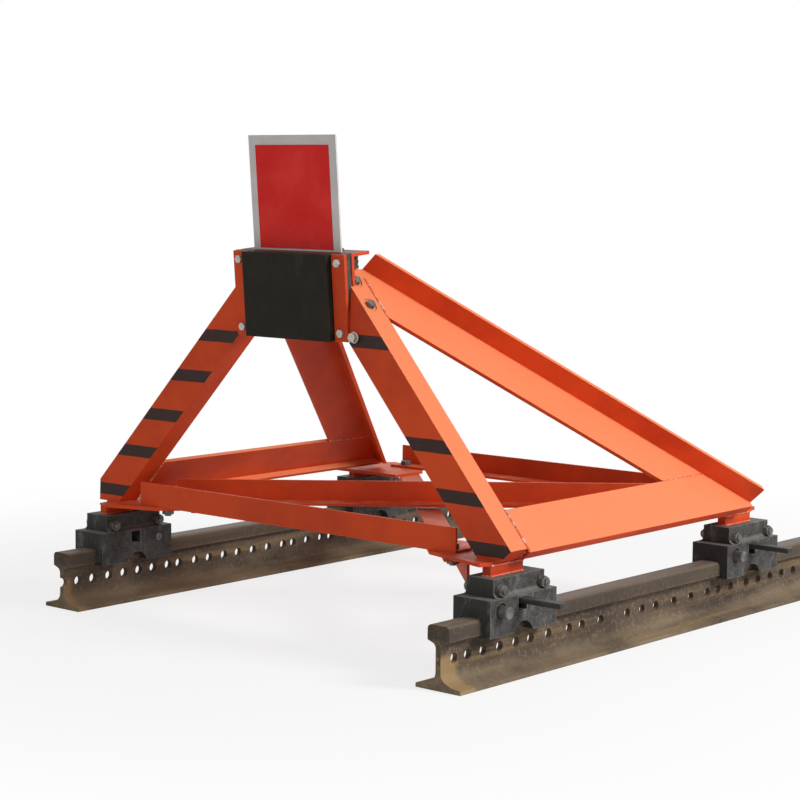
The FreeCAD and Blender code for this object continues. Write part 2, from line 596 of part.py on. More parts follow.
GUSSET_BACK = "gusset_front + gusset_depth"
SHOULDER = "gusset_front + gusset_shoulder"
RIGHT_GUSSET = [("gusset_inner", SHOULDER), ("gusset_inner + gusset_bevel", f"{SHOULDER} - gusset_bevel"),
                ("gusset_outer - angle_wall", "gusset_front"), ("gusset_outer", "gusset_front + beam_flange"),
                ("gusset_outer", GUSSET_BACK), ("gusset_inner", GUSSET_BACK)]
LEFT_GUSSET = [("gusset_inner", SHOULDER), ("gusset_inner + gusset_bevel", f"{SHOULDER} - gusset_bevel"),
               ("gusset_outer - gusset_toe", "gusset_front"), ("gusset_outer", "gusset_front + angle_leg"),
               ("gusset_outer", GUSSET_BACK), ("gusset_inner", GUSSET_BACK)]
gusset("gusset_front_right", 1, RIGHT_GUSSET, False, ["front_right"])
gusset("gusset_front_left", -1, LEFT_GUSSET, False, ["front_left", "upper_start"])
gusset("gusset_rear_right", 1, RIGHT_GUSSET, True, ["rear_right", "upper_end"])
gusset("gusset_rear_left", -1, LEFT_GUSSET, True, ["rear_left"])

ANGLE_FLAT_AHEAD = [("0", "0"), ("-angle_leg", "0"), ("-angle_leg", "angle_wall"),
                    ("-angle_wall", "angle_wall"), ("-angle_wall", "angle_leg"), ("0", "angle_leg")]
ANGLE_FLAT_BEHIND = [(f"-({across})", up) for across, up in ANGLE_FLAT_AHEAD]
ANGLE_HANGING = [(f"-({across})", f"-({up})") for across, up in ANGLE_FLAT_AHEAD]


def angle_bar(label, outline, length, corner, angle="0", spots=()):
    """Rolled angle along its own X axis, turned about the vertical."""
    bar = prism(label + "_bar", "YZ_Plane", outline, length)
    place(bar, corner, (0, 0, 1), angle)
    return keep(cut(label + "_drilled", bar, plate_drills(*spots)) if spots else bar, label)


angle_bar("front_cross_beam", ANGLE_FLAT_BEHIND, "2 * cross_half", ("-cross_half", "cross_front", PLATE_TOP),
          spots=["front_left", "front_right"])
angle_bar("rear_cross_beam", ANGLE_FLAT_AHEAD, "2 * rear_half", ("-rear_half", "cross_rear", PLATE_TOP),
          spots=["rear_left", "rear_right"])
angle_bar("upper_diagonal", ANGLE_FLAT_AHEAD, UPPER_LENGTH, ("-diagonal_half", "diagonal_front", PLATE_TOP),
          UPPER_ANGLE, ["upper_start", "upper_end"])
angle_bar("lower_diagonal", ANGLE_HANGING, UNDER_LENGTH, ("under_start", "under_front", "plate_underside"),
          f"180 - {UNDER_ANGLE} / 1 deg", ["front_right", "rear_left"])

# Side frames


def in_side_frame(item):
    """Give an outline drawn along the track and up the lean its place in the right side frame."""
    return place(item, in_side("0", "0", "0"), SIDE_AXIS, "side_lean")


STRUT_REAR = "strut_front + strut_width"
BRACE_RUN = "(beam_wall * sqrt(1 + brace_slope ^ 2))"
FAR = "1000"


def strut_edge(start, up):
    """Point of an edge of the front strut at a length up the side frame."""
    return (f"{start} + strut_rake * ({up})", up)


def brace_edge(start, up):
    """Point of an edge of the rear strut at a length up the side frame."""
    return (f"{start} - brace_slope * ({up})", up)


SIDE_NORMAL = ((0, 1, 0), "90 - side_lean")
FORWARDS = ((1, 0, 0), "90")


def lug_place(behind):
    """Place of the head bolt, a distance behind the front face of the right strut."""
    rise = "(lug_bolt_height - side_base)"
    inner = f"side_foot - {rise} * tan(side_lean * 1 deg) - strut_depth / cos(side_lean * 1 deg)"
    return (f"{inner} + lug_bolt_inset",
            f"strut_front + strut_rake * {rise} / cos(side_lean * 1 deg) + {behind}", "lug_bolt_height")


HEAD_BACK = "(pad_thickness + backing_thickness + spacer_thickness + channel_wall)"


def front_strut(name, low, nose, bolted):
    """Tube that leans inwards, closed and trimmed at its foot and notched for the head."""
    high = "brace_top + 2 * beam_depth"
    outside = prism(name + "_outside", "YZ_Plane",
                    [strut_edge("strut_front", low), strut_edge(STRUT_REAR, low),
                     strut_edge(STRUT_REAR, high), strut_edge("strut_front", high)], "strut_depth", True)
    inside = prism(name + "_inside", "YZ_Plane",
                   [strut_edge("strut_front + strut_wall", "strut_plug"),
                    strut_edge(STRUT_REAR + " - strut_wall", "strut_plug"),
                    strut_edge(STRUT_REAR + " - strut_wall", high),
                    strut_edge("strut_front + strut_wall", high)],
                   "strut_depth - 2 * strut_wall", True)
    in_side_frame(outside)
    place(inside, in_side("-strut_wall", "0", "0"), SIDE_AXIS, "side_lean")
    foot = box(name + "_foot", ("0", f"-{FAR}", f"{PLATE_TOP} - {FAR}"), (FAR + " * 2", FAR + " * 2", FAR))
    toe = box(name + "_toe", (nose, f"-{FAR}", "0"), (FAR, FAR + " * 2", FAR))
    top = box(name + "_top", in_head(f"-{FAR}", f"-{FAR}", "strut_top"), (FAR + " * 2", FAR + " * 2", FAR),
              HEAD_AXIS, "head_lean")
    notch = box(name + "_notch", in_head("-strip_outer - 1", f"-{FAR}", "-head_margin - 1"),
                ("2 * strip_outer + 2", f"{FAR} + {HEAD_BACK}", FAR), HEAD_AXIS, "head_lean")
    tools = [inside, foot, toe, top, notch]
    for spot, up in (("low", "side_bolt_low"), ("high", "side_bolt_high")):
        along = strut_edge("strut_front + side_bolt_back", up)[0]
        tools.append(rod(f"{name}_{spot}_recess", in_side("-strut_wall / 2", along, up), "strip_bolt_flats",
                         "strut_wall", *SIDE_NORMAL))
        tools.append(rod(f"{name}_{spot}_drill", in_side("-2 * strut_wall", along, up),
                         "plate_bolt / 2 + bolt_play", "2 * strut_wall", *SIDE_NORMAL))
    if bolted:
        tools.append(rod(name + "_lug_drill", lug_place("strut_wall * 2"), "plate_bolt / 2 + bolt_play",
                         "4 * strut_wall", *FORWARDS))
    return cut(name, outside, tools)


keep(front_strut("strut_right", "strut_cut", "side_foot", True), "front_strut_right")
left_strut = front_strut("strut_left", "-2 * beam_depth", f"{RAIL_X} + nose_overhang", False)
keep(mirrored("strut_left_image", left_strut), "front_strut_left")

FACE_TO_FACE = "strut_depth * tan(side_lean * 1 deg)"


def in_plane(item, inset, lift):
    """Set a profile of a side frame in from the outer face of the strut, and up along it."""
    return place(item, in_side(f"-({inset})", "0", lift), SIDE_AXIS, "side_lean")


def base_beam(name, inset, lift, root):
    """Angle along the foot of a side frame, cut off behind along the back of the rear strut."""
    strut_rear = f"{STRUT_REAR} + strut_rake * {lift}"
    outer_edge = f"{root} + {BRACE_RUN}"
    web = prism(name + "_web", "YZ_Plane",
                [strut_edge(strut_rear, "0"), ("beam_rear", "0"),
                 ("beam_rear", f"({outer_edge} - beam_rear) / brace_slope"),
                 brace_edge(outer_edge, "beam_depth"), strut_edge(strut_rear, "beam_depth")], "beam_wall", True)
    foot = prism(name + "_foot", "YZ_Plane",
                 [strut_edge(strut_rear, "0"), ("beam_rear", "0"), ("beam_rear", "beam_wall"),
                  strut_edge(strut_rear, "beam_wall")], "beam_flange", True)
    return join(name, [in_plane(item, inset, lift) for item in (web, foot)])


def rear_strut(name, inset, lift, root, inwards):
    """Angle that props the head from behind, with its flange on the outer or the inner face."""
    outer_edge = f"{root} + {BRACE_RUN}"
    low = "beam_wall" if inwards else "0"
    strut_rear = f"{STRUT_REAR} + strut_rake * {lift}"
    crossing = f"((brace_lower - ({strut_rear})) / (brace_slope + strut_rake))"
    web = prism(name + "_web", "YZ_Plane",
                [brace_edge("brace_lower", "beam_depth"), brace_edge(outer_edge, "beam_depth"),
                 brace_edge(outer_edge, "brace_top"), strut_edge(strut_rear, "brace_top"),
                 strut_edge(strut_rear, crossing)], "beam_wall", True)
    rib = prism(name + "_rib", "YZ_Plane",
                [brace_edge(root, low), brace_edge(outer_edge, low), brace_edge(outer_edge, "brace_top"),
                 brace_edge(root, "brace_top")],
                "brace_flange", inwards)
    bars = [in_plane(web, inset, lift), in_plane(rib, f"{inset} + beam_wall" if inwards else inset, lift)]
    below = box(name + "_below", ("0", f"-{FAR}", f"side_base - {FAR}"), (FAR + " * 2", FAR + " * 3", FAR))
    behind = box(name + "_behind", ("0", "beam_rear", "0"), (FAR, FAR, FAR))
    return cut(name + "_trimmed", join(name, bars), [below, behind])


# The bars of the right side frame are flush with the outer face of its strut, those of the left one
# with the inner face
INNER_FACE = "(strut_depth - beam_wall)"
LEFT_ROOT = "brace_root - brace_lead"
keep(base_beam("beam_right", "0", "0", "brace_root"), "base_beam_right")
beam_left = base_beam("beam_left", INNER_FACE, FACE_TO_FACE, LEFT_ROOT)
keep(mirrored("beam_left_image", beam_left), "base_beam_left")
keep(rear_strut("brace_right", "0", "0", "brace_root", False), "rear_strut_right")
brace_left = rear_strut("brace_left", INNER_FACE, FACE_TO_FACE, LEFT_ROOT, True)
keep(mirrored("brace_left_image", brace_left), "rear_strut_left")

side_bolts = []
for spot, up in (("low", "side_bolt_low"), ("high", "side_bolt_high")):
    along = strut_edge("strut_front + side_bolt_back", up)[0]
    head = hexagon(f"side_bolt_{spot}_head", in_side("-strut_wall / 2", along, up), "plate_nut_flats",
                   "plate_nut_height", *SIDE_NORMAL)
    shank = rod(f"side_bolt_{spot}_shank", in_side("-strut_wall", along, up), "plate_bolt / 2",
                "strut_wall", *SIDE_NORMAL)
    side_bolts.append(join(f"side_bolt_{spot}", [head, shank]))
side_set = group("side_bolt_set", side_bolts)
keep(group("side_bolts", [side_set, mirrored("side_bolts_left", side_set)]), "strut_bolts")

plate_bolts = [plate_bolt(spot) for spot in PLATE_BOLTS]
keep(group("plate_bolt_set", plate_bolts), "gusset_bolts")

# Striking head, from the rubber face rearwards

HEAD_NORMAL = ((1, 0, 0), "90 + head_lean")
BOLT_ACROSS = "(strip_outer + pad_half + strip_gap) / 2"
STRIP_BOLTS = {f"{side_name}_{level}": (f"{side} * {BOLT_ACROSS}", up)
               for side_name, side in (("left", -1), ("right", 1))
               for level, up in (("low", "strip_bolt_edge"), ("high", "pad_height - strip_bolt_edge"))}


def head_block(label, corner, size, drills=()):
    """Flat piece of the leaning head, kept as a sub-part."""
    block = box(label + "_block", in_head(*corner), size, HEAD_AXIS, "head_lean")
    return keep(cut(label + "_drilled", block, drills) if drills else block, label)


strip_drills = {spot: rod("strip_drill_" + spot, in_head(across, f"{HEAD_BACK} - channel_wall", up),
                          "strip_bolt / 2 + bolt_play", HEAD_BACK, *HEAD_NORMAL)
                for spot, (across, up) in STRIP_BOLTS.items()}
left_drills = [item for spot, item in strip_drills.items() if spot.startswith("left")]
right_drills = [item for spot, item in strip_drills.items() if spot.startswith("right")]


STRIP_BACK = "pad_thickness"
STRIP_FACE = "pad_thickness - strip_thickness"
HEAD_LOW = "-head_margin"
HEAD_HEIGHT = "(pad_height + 2 * head_margin)"
head_block("rubber_pad", ("-pad_half", "0", "0"), ("2 * pad_half", "pad_thickness", "pad_height"))
strip_width = "strip_outer - pad_half - strip_gap"
head_block("pad_strip_right", ("pad_half + strip_gap", STRIP_FACE, "0"),
           (strip_width, "strip_thickness", "pad_height"), right_drills)
head_block("pad_strip_left", ("-strip_outer", STRIP_FACE, "0"), (strip_width, "strip_thickness", "pad_height"),
           left_drills)
head_block("backing_plate", ("-strip_outer", STRIP_BACK, HEAD_LOW),
           ("2 * strip_outer", "backing_thickness", HEAD_HEIGHT), left_drills + right_drills)
head_block("spacer_plate", ("spacer_setback - strip_outer", f"{STRIP_BACK} + backing_thickness",
                            f"{HEAD_LOW} + spacer_setback"),
           ("2 * (strip_outer - spacer_setback)", "spacer_thickness", f"{HEAD_HEIGHT} - 2 * spacer_setback"),
           left_drills + right_drills)
channel_start = f"{STRIP_BACK} + backing_thickness + spacer_thickness"
channel = prism("channel", "YZ_Plane",
                [(channel_start, HEAD_LOW), (HEAD_BACK, HEAD_LOW),
                 (HEAD_BACK, f"{HEAD_LOW} + {HEAD_HEIGHT} - channel_wall"),
                 (f"{channel_start} + channel_flange", f"{HEAD_LOW} + {HEAD_HEIGHT} - channel_wall"),
                 (f"{channel_start} + channel_flange", f"{HEAD_LOW} + {HEAD_HEIGHT}"),
                 (channel_start, f"{HEAD_LOW} + {HEAD_HEIGHT}")], "2 * strip_outer")
place(channel, in_head("-strip_outer", "0", "0"), HEAD_AXIS, "head_lean")

strip_bolts = []
for spot, (across, up) in STRIP_BOLTS.items():
    head = hexagon(f"strip_bolt_{spot}_head", in_head(across, STRIP_FACE, up), "strip_bolt_flats",
                   "strip_bolt_head", *HEAD_NORMAL)
    shank = rod(f"strip_bolt_{spot}_shank", in_head(across, f"{HEAD_BACK} - channel_wall", up),
                "strip_bolt / 2", "strip_thickness + backing_thickness + spacer_thickness", *HEAD_NORMAL)
    strip_bolts.append(join("strip_bolt_" + spot, [head, shank]))
keep(group("strip_bolt_set", strip_bolts), "strip_bolts")

shims = []
SHIM_COUNT = 5
for number in range(SHIM_COUNT):
    stagger = f"{number % 2} * shim_stagger"
    shims.append(box(f"shim_{number}", in_head(f"shim_outer - shim_width - {stagger}", HEAD_BACK,
                                               f"strut_top + {number} * shim_thickness"),
                     ("shim_width", "shim_depth", "shim_thickness"), HEAD_AXIS, "head_lean"))
both_sides("shim_pack", group("shims", shims))

lug_head = hexagon("lug_bolt_head", lug_place("-washer_thickness"), "plate_nut_flats", "plate_nut_height",
                   *FORWARDS)
lug_washer = rod("lug_bolt_washer", lug_place("0"), "plate_nut_flats * 2 / 3", "washer_thickness", *FORWARDS)
lug_shank = rod("lug_bolt_shank", lug_place("strut_wall"), "plate_bolt / 2", "2 * strut_wall", *FORWARDS)
lug_bolt = join("lug_bolt", [lug_head, lug_washer, lug_shank])
keep(lug_bolt, "head_bolts")

# Signal board, standing on the flange of the head channel

BOARD_LOW = f"{HEAD_LOW} + {HEAD_HEIGHT}"
BOARD_BACK = "board_setback + board_thickness"
head_block("board_plate", ("-board_half", "board_setback", BOARD_LOW),
           ("2 * board_half", "board_thickness", "board_height"))
head_block("red_panel", ("-panel_half", "board_setback - panel_thickness", f"{BOARD_LOW} + panel_bottom"),
           ("2 * panel_half", "panel_thickness", "panel_height"))
bracket = prism("bracket", "YZ_Plane",
                [(BOARD_BACK, BOARD_LOW), (f"{BOARD_BACK} + bracket_leg", BOARD_LOW),
                 (f"{BOARD_BACK} + bracket_leg", f"{BOARD_LOW} + bracket_wall"),
                 (f"{BOARD_BACK} + bracket_wall", f"{BOARD_LOW} + bracket_wall"),
                 (f"{BOARD_BACK} + bracket_wall", f"{BOARD_LOW} + bracket_leg"),
                 (BOARD_BACK, f"{BOARD_LOW} + bracket_leg")], "2 * bracket_half")
place(bracket, in_head("-bracket_half", "0", "0"), HEAD_AXIS, "head_lean")
BOARD_BOLT_BACK = f"{BOARD_BACK} + (bracket_leg + bracket_wall) / 2"
board_bolts = []
board_drills = []
for number in (-1, 0, 1):
    across = f"{number} * (bracket_half - bracket_leg / 2)"
    head = hexagon(f"board_bolt_{number + 1}_head", in_head(across, BOARD_BOLT_BACK, f"{BOARD_LOW} + bracket_wall"),
                   "strip_bolt_flats", "strip_bolt_head", HEAD_AXIS, "head_lean")
    seat = in_head(across, BOARD_BOLT_BACK, f"{BOARD_LOW} - channel_wall")
    shank = rod(f"board_bolt_{number + 1}_shank", seat, "strip_bolt / 2", "channel_wall + bracket_wall",
                HEAD_AXIS, "head_lean")
    board_bolts.append(join(f"board_bolt_{number + 1}", [head, shank]))
    board_drills.append(rod(f"board_drill_{number + 1}", seat, "strip_bolt / 2 + bolt_play",
                            "2 * (channel_wall + bracket_wall)", HEAD_AXIS, "head_lean"))
keep(cut("bracket_drilled", bracket, board_drills), "board_bracket")
keep(cut("channel_drilled", channel, board_drills), "head_channel")
keep(group("board_bolt_set", board_bolts), "board_bolts")

# Check and export

doc.recompute()
failed = [item.Name for item in doc.Objects if "Invalid" in item.State or "Error" in item.State]
if failed:
    raise RuntimeError("objects that failed: " + ", ".join(failed))
for node in nodes:
    if node.Shape.isNull() or not node.Shape.isValid() or not node.Shape.Solids:
        raise RuntimeError("bad shape: " + node.Label)
os.makedirs("parts", exist_ok=True)
for node in nodes:
    node.Shape.exportStep(f"parts/{node.Label}.step")
print(len(nodes), "sub-parts written")
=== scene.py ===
"""Looks of a buffer stop clamped on two rails: painted steel, cast clamps, worn rails, welds and bolts.

Lengths are in metres in the row frame: X across the track to the right, Y rearwards, Z up. Scales of
patterns are features for each metre, and the two numbers of a step are where its mask starts and is full.
"""

import json
import logging
import math
from dataclasses import dataclass, field
from enum import Enum
from typing import Callable, Protocol, Sequence, Union

import bpy
from mathutils import Matrix, Vector

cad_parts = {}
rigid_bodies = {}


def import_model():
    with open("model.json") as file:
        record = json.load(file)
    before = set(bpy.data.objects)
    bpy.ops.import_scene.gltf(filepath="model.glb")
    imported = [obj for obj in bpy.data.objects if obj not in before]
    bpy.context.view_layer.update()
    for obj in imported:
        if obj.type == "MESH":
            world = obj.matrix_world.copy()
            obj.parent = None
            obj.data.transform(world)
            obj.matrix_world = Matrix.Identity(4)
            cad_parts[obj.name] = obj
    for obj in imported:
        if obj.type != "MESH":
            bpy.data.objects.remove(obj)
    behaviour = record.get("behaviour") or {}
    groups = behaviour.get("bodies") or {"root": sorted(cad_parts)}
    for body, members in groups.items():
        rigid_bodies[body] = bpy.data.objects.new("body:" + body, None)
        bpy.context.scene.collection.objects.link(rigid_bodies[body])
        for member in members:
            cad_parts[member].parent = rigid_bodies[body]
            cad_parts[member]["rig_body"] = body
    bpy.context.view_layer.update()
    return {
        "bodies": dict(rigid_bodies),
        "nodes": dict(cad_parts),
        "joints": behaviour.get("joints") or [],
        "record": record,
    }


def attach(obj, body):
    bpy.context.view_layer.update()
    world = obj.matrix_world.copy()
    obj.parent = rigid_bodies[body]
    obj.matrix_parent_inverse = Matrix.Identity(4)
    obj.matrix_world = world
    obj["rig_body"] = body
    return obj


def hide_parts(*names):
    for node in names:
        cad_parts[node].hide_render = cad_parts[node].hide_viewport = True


log = logging.getLogger("buffer_stop")

Colour = tuple[float, float, float, float]
Point = tuple[float, float, float]
Run = tuple[Point, Point]
Number = Union[float, "Signal"]
Key = Union[int, str]

MIX_MASK, MIX_FIRST, MIX_SECOND, MIX_RESULT = 0, 6, 7, 2


class Side(Enum):
    """Side of the track that a piece stands on."""

    LEFT = -1
    RIGHT = 1

    @property
    def word(self) -> str:
        """Name used in the node names."""
        return self.name.lower()


class End(Enum):
    """End of the frame, with the distance of its clamps behind the front ones."""

    FRONT = 0.0
    REAR = 1.143

    @property
    def word(self) -> str:
        """Name used in the node names."""
        return self.name.lower()


def tint(red: float, green: float, blue: float) -> Colour:
    """Opaque linear colour."""
    return (red, green, blue, 1.0)


class Signal:
    """Output of a shader node that adds Math nodes when it is used in an expression."""

    def __init__(self, graph: "Graph", origin: bpy.types.Node, output: Key = 0) -> None:
        """Wrap an output.

        Args:
            graph: The graph that the node stands in.
            origin: The node.
            output: Number or name of its output.
        """
        self.graph = graph
        self.origin = origin
        self.output = output

    @property
    def socket(self) -> bpy.types.NodeSocket:
        """The wrapped output socket."""
        return self.origin.outputs[self.output]

    def other(self, name: str) -> "Signal":
        """Another output of the same node."""
        return Signal(self.graph, self.origin, name)

    def _math(self, operation: str, first: Number, second: Number) -> "Signal":
        """Add one Math node."""
        return self.graph.node("ShaderNodeMath", {"operation": operation}, {0: first, 1: second})

    def __add__(self, value: Number) -> "Signal":
        """Sum."""
        return self._math("ADD", self, value)

    def __sub__(self, value: Number) -> "Signal":
        """Difference."""
        return self._math("SUBTRACT", self, value)

    def __rsub__(self, value: Number) -> "Signal":
        """Difference from a plain number."""
        return self._math("SUBTRACT", value, self)

    def __mul__(self, value: Number) -> "Signal":
        """Product."""
        return self._math("MULTIPLY", self, value)

    def __or__(self, value: Number) -> "Signal":
        """The larger of two masks."""
        return self._math("MAXIMUM", self, value)

    def __abs__(self) -> "Signal":
        """Size without its sign."""
        return self._math("ABSOLUTE", self, 0.0)

    __radd__ = __add__
    __rmul__ = __mul__

    def step(self, low: float, high: float) -> "Signal":
        """Mask that rises smoothly from 0 at low to 1 at high.

        Args:
            low: Value where the mask starts.
            high: Value where it is full; a high below low turns the mask over.

        Returns:
            The mask.
        """
        if high < low:
            return 1.0 - self.step(high, low)
        return self.graph.node("ShaderNodeMapRange", {"interpolation_type": "SMOOTHSTEP"},
                               {0: self, 1: low, 2: high, 3: 0.0, 4: 1.0})


class Graph:
    """Node tree of a material or of the world, with the patterns that the finishes share."""

    edge_samples: int = 4
    edge_start: float = 0.02
    edge_full: float = 0.2

    def __init__(self, owner: Union[bpy.types.Material, bpy.types.World]) -> None:
        """Start an empty tree.

        Args:
            owner: The material or world that the tree belongs to.
        """
        self.owner = owner
        owner.use_nodes = True
        self.tree = owner.node_tree
        self.tree.nodes.clear()

    @classmethod
    def of(cls, name: str) -> "Graph":
        """Graph of a new material."""
        return cls(bpy.data.materials.new(name))

    def node(self, kind: str, settings: dict[str, object] | None = None,
             inputs: dict[Key, object] | None = None, output: Key = 0) -> Signal:
        """Add a node, set it and feed its sockets.

        Args:
            kind: Type of the node.
            settings: Its options, set before the sockets.
            inputs: Values or signals of its input sockets, by number or name.
            output: Number or name of the output that is returned.

        Returns:
            The chosen output.
        """
        made = self.tree.nodes.new(kind)
        for name, value in (settings or {}).items():
            setattr(made, name, value)
        for key, value in (inputs or {}).items():
            if isinstance(value, Signal):
                self.tree.links.new(value.socket, made.inputs[key])
            else:
                made.inputs[key].default_value = value
        return Signal(self, made, output)

    def surface(self, constants: dict[str, float], varying: dict[str, Signal]) -> bpy.types.Material:
        """Close the material with a Principled shader.

        Args:
            constants: Socket values that are the same all over.
            varying: Signals for the sockets that change over the surface.

        Returns:
            The finished material.
        """
        self.close(self.node("ShaderNodeBsdfPrincipled", None, {**constants, **varying}))
        return self.owner

    def close(self, shader: Signal) -> None:
        """Feed the output of the tree."""
        kind = "World" if isinstance(self.owner, bpy.types.World) else "Material"
        self.node("ShaderNodeOutput" + kind, None, {"Surface": shader})

    def place(self) -> Signal:
        """Object coordinates."""
        return self.node("ShaderNodeTexCoord", output="Object")

    def axis(self, vector: Signal, name: str) -> Signal:
        """One component of a vector."""
        return self.node("ShaderNodeSeparateXYZ", None, {0: vector}, name)

    def normal(self, name: str) -> Signal:
        """One component of the surface normal in object space."""
        return self.axis(self.node("ShaderNodeTexCoord", output="Normal"), name)

    def seen(self) -> Signal:
        """Mask of the rays that show a surface: straight, in a reflection or through glass."""
        path = self.node("ShaderNodeLightPath", output="Is Camera Ray")
        return path | path.other("Is Glossy Ray") | path.other("Is Transmission Ray")

    def noise(self, scale: float, detail: float, rough: float, stretch: Point = (1, 1, 1)) -> Signal:
        """Noise on object coordinates, from 0 to 1.

        Args:
            scale: Features for each metre.
            detail: Octaves.
            rough: Weight of the finer octaves.
            stretch: Scale of the coordinates along each axis.

        Returns:
            The noise.
        """
        spot = self.node("ShaderNodeMapping", None, {"Vector": self.place(), "Scale": stretch})
        inputs = {"Vector": spot, "Scale": scale, "Detail": detail, "Roughness": rough}
        return self.node("ShaderNodeTexNoise", None, inputs)

    def cells(self, scale: float) -> Signal:
        """Distance to the nearest of scattered points."""
        return self.node("ShaderNodeTexVoronoi", None, {"Vector": self.place(), "Scale": scale})

    def edges(self, reach: float) -> Signal:
        """Mask of the edges and corners.

        Args:
            reach: Distance that an edge is felt over.

        Returns:
            The mask.
        """
        soft = self.node("ShaderNodeBevel", {"samples": self.edge_samples}, {"Radius": reach})
        sharp = self.node("ShaderNodeNewGeometry", output="Normal")
        same = self.node("ShaderNodeVectorMath", {"operation": "DOT_PRODUCT"}, {0: soft, 1: sharp}, "Value")
        return (1.0 - same).step(self.edge_start, self.edge_full)

    def blend(self, mask: Number, first: Union[Colour, Signal], second: Union[Colour, Signal]) -> Signal:
        """Colour between two colours."""
        inputs = {MIX_MASK: mask, MIX_FIRST: first, MIX_SECOND: second}
        return self.node("ShaderNodeMix", {"data_type": "RGBA"}, inputs, MIX_RESULT)

    def bump(self, height: Signal, distance: float, strength: float, below: Signal | None = None) -> Signal:
        """Bumped normal.

        Args:
            height: Height pattern.
            distance: Height of a full step, in metres.
            strength: Share of the bump that shows.
            below: Normal that this one is laid on.

        Returns:
            The normal.
        """
        inputs = {"Height": height, "Distance": distance, "Strength": strength}
        if below is not None:
            inputs["Normal"] = below
        return self.node("ShaderNodeBump", None, inputs)


class Finish(Protocol):
    """What a piece can be dressed in."""

    @property
    def name(self) -> str:
        """Name of the material."""

    def material(self) -> bpy.types.Material:
        """Build the material."""


@dataclass(frozen=True)
class OrangePaint:
    """Gloss paint on structural steel, dusty and chipped, with optional black warning bands, and painted
    sunlight on faces that slope up.
    """

    name: str = "orange_paint"
    paint: Colour = tint(0.66, 0.070, 0.013)
    deep: Colour = tint(0.46, 0.040, 0.010)
    # Pale salmon that stands in for light: painted sunlight on sloping faces and a painted highlight on edges.
    bleached: Colour = tint(0.87, 0.285, 0.125)
    dust: Colour = tint(0.52, 0.33, 0.20)
    primer: Colour = tint(0.085, 0.045, 0.030)
    black: Colour = tint(0.016, 0.014, 0.013)
    faded_black: Colour = tint(0.028, 0.023, 0.019)
    bands: tuple[float, ...] = ()
    band_half: float = 0.018
    band_fade: float = 0.0012
    band_waver: float = 0.004
    black_top: bool = False
    cloud_scale: float = 2.6
    patch_scale: float = 14.0
    run_scale: float = 9.0
    speck_scale: float = 150.0
    chip_scale: float = 85.0
    brush_scale: float = 38.0
    grain_scale: float = 240.0
    edge_reach: float = 0.0035
    roughness: float = 0.40
    specular: float = 0.18
    ior: float = 1.48

    def material(self) -> bpy.types.Material:
        """Build the paint.

        Returns:
            The material.
        """
        g = Graph.of(self.name)
        upward = g.normal("Z")
        cloud = g.noise(self.cloud_scale, 5.0, 0.6)
        patch = g.noise(self.patch_scale, 6.0, 0.62)
        runs = g.noise(self.run_scale, 3.0, 0.5, (1.0, 1.0, 0.12))
        colour = g.blend(cloud.step(0.35, 0.7), self.paint, self.deep)
        colour = g.blend(runs.step(0.52, 0.8) * 0.35, colour, self.deep)
        # Painted sunlight: faces that slope up and outwards are blended towards the pale salmon of a sunlit
        # face.
        slope = upward.step(0.35, 0.66) * upward.step(0.97, 0.75)
        colour = g.blend(slope * (0.55 + 0.30 * cloud), colour, self.bleached)
        flat = upward.step(0.9, 0.99)
        dusty = flat * patch.step(0.42, 0.75) * 0.55
        colour = g.blend(dusty, colour, self.dust)
        specks = g.cells(self.speck_scale).step(0.16, 0.08) * patch.step(0.60, 0.68)
        edge = g.edges(self.edge_reach)
        chips = edge * g.noise(self.chip_scale, 5.0, 0.7).step(0.57, 0.63) | specks * 0.7
        # Painted highlight: edges are blended a little towards the pale salmon of a sunlit face.
        colour = g.blend(edge * 0.22, colour, self.bleached)
        if self.black_top:
            colour = g.blend(flat * (0.80 + 0.18 * patch), colour, self.black)
        if self.bands:
            colour = self.banded(g, colour, patch)
        colour = g.blend(chips * 0.85, colour, self.primer)
        relief = g.bump(g.noise(self.brush_scale, 3.0, 0.5), 0.0006, 0.25)
        relief = g.bump(g.noise(self.grain_scale, 3.0, 0.6), 0.00015, 0.5, relief)
        relief = g.bump(1.0 - chips, 0.0003, 0.6, relief)
        return g.surface(
            {"Specular IOR Level": self.specular, "IOR": self.ior},
            {"Base Color": colour, "Roughness": self.roughness + 0.22 * patch + dusty * 0.3,
             "Normal": relief},
        )

    def banded(self, g: Graph, colour: Signal, patch: Signal) -> Signal:
        """Lay the warning bands on the front face.

        Args:
            g: The material's graph.
            colour: Colour without the bands.
            patch: Pattern that makes their borders waver and their black uneven.

        Returns:
            The colour with the bands.
        """
        height = g.axis(g.place(), "Z") + (patch - 0.5) * self.band_waver
        outside, inside = self.band_half + self.band_fade, self.band_half - self.band_fade
        band, *others = [abs(height - centre).step(outside, inside) for centre in self.bands]
        for other in others:
            band = band | other
        band = band * g.normal("Y").step(-0.85, -0.95)
        band = band * (1.0 - g.noise(60.0, 6.0, 0.7).step(0.64, 0.70) * 0.75)
        return g.blend(band * 0.97, colour, g.blend(patch.step(0.35, 0.8), self.black, self.faded_black))


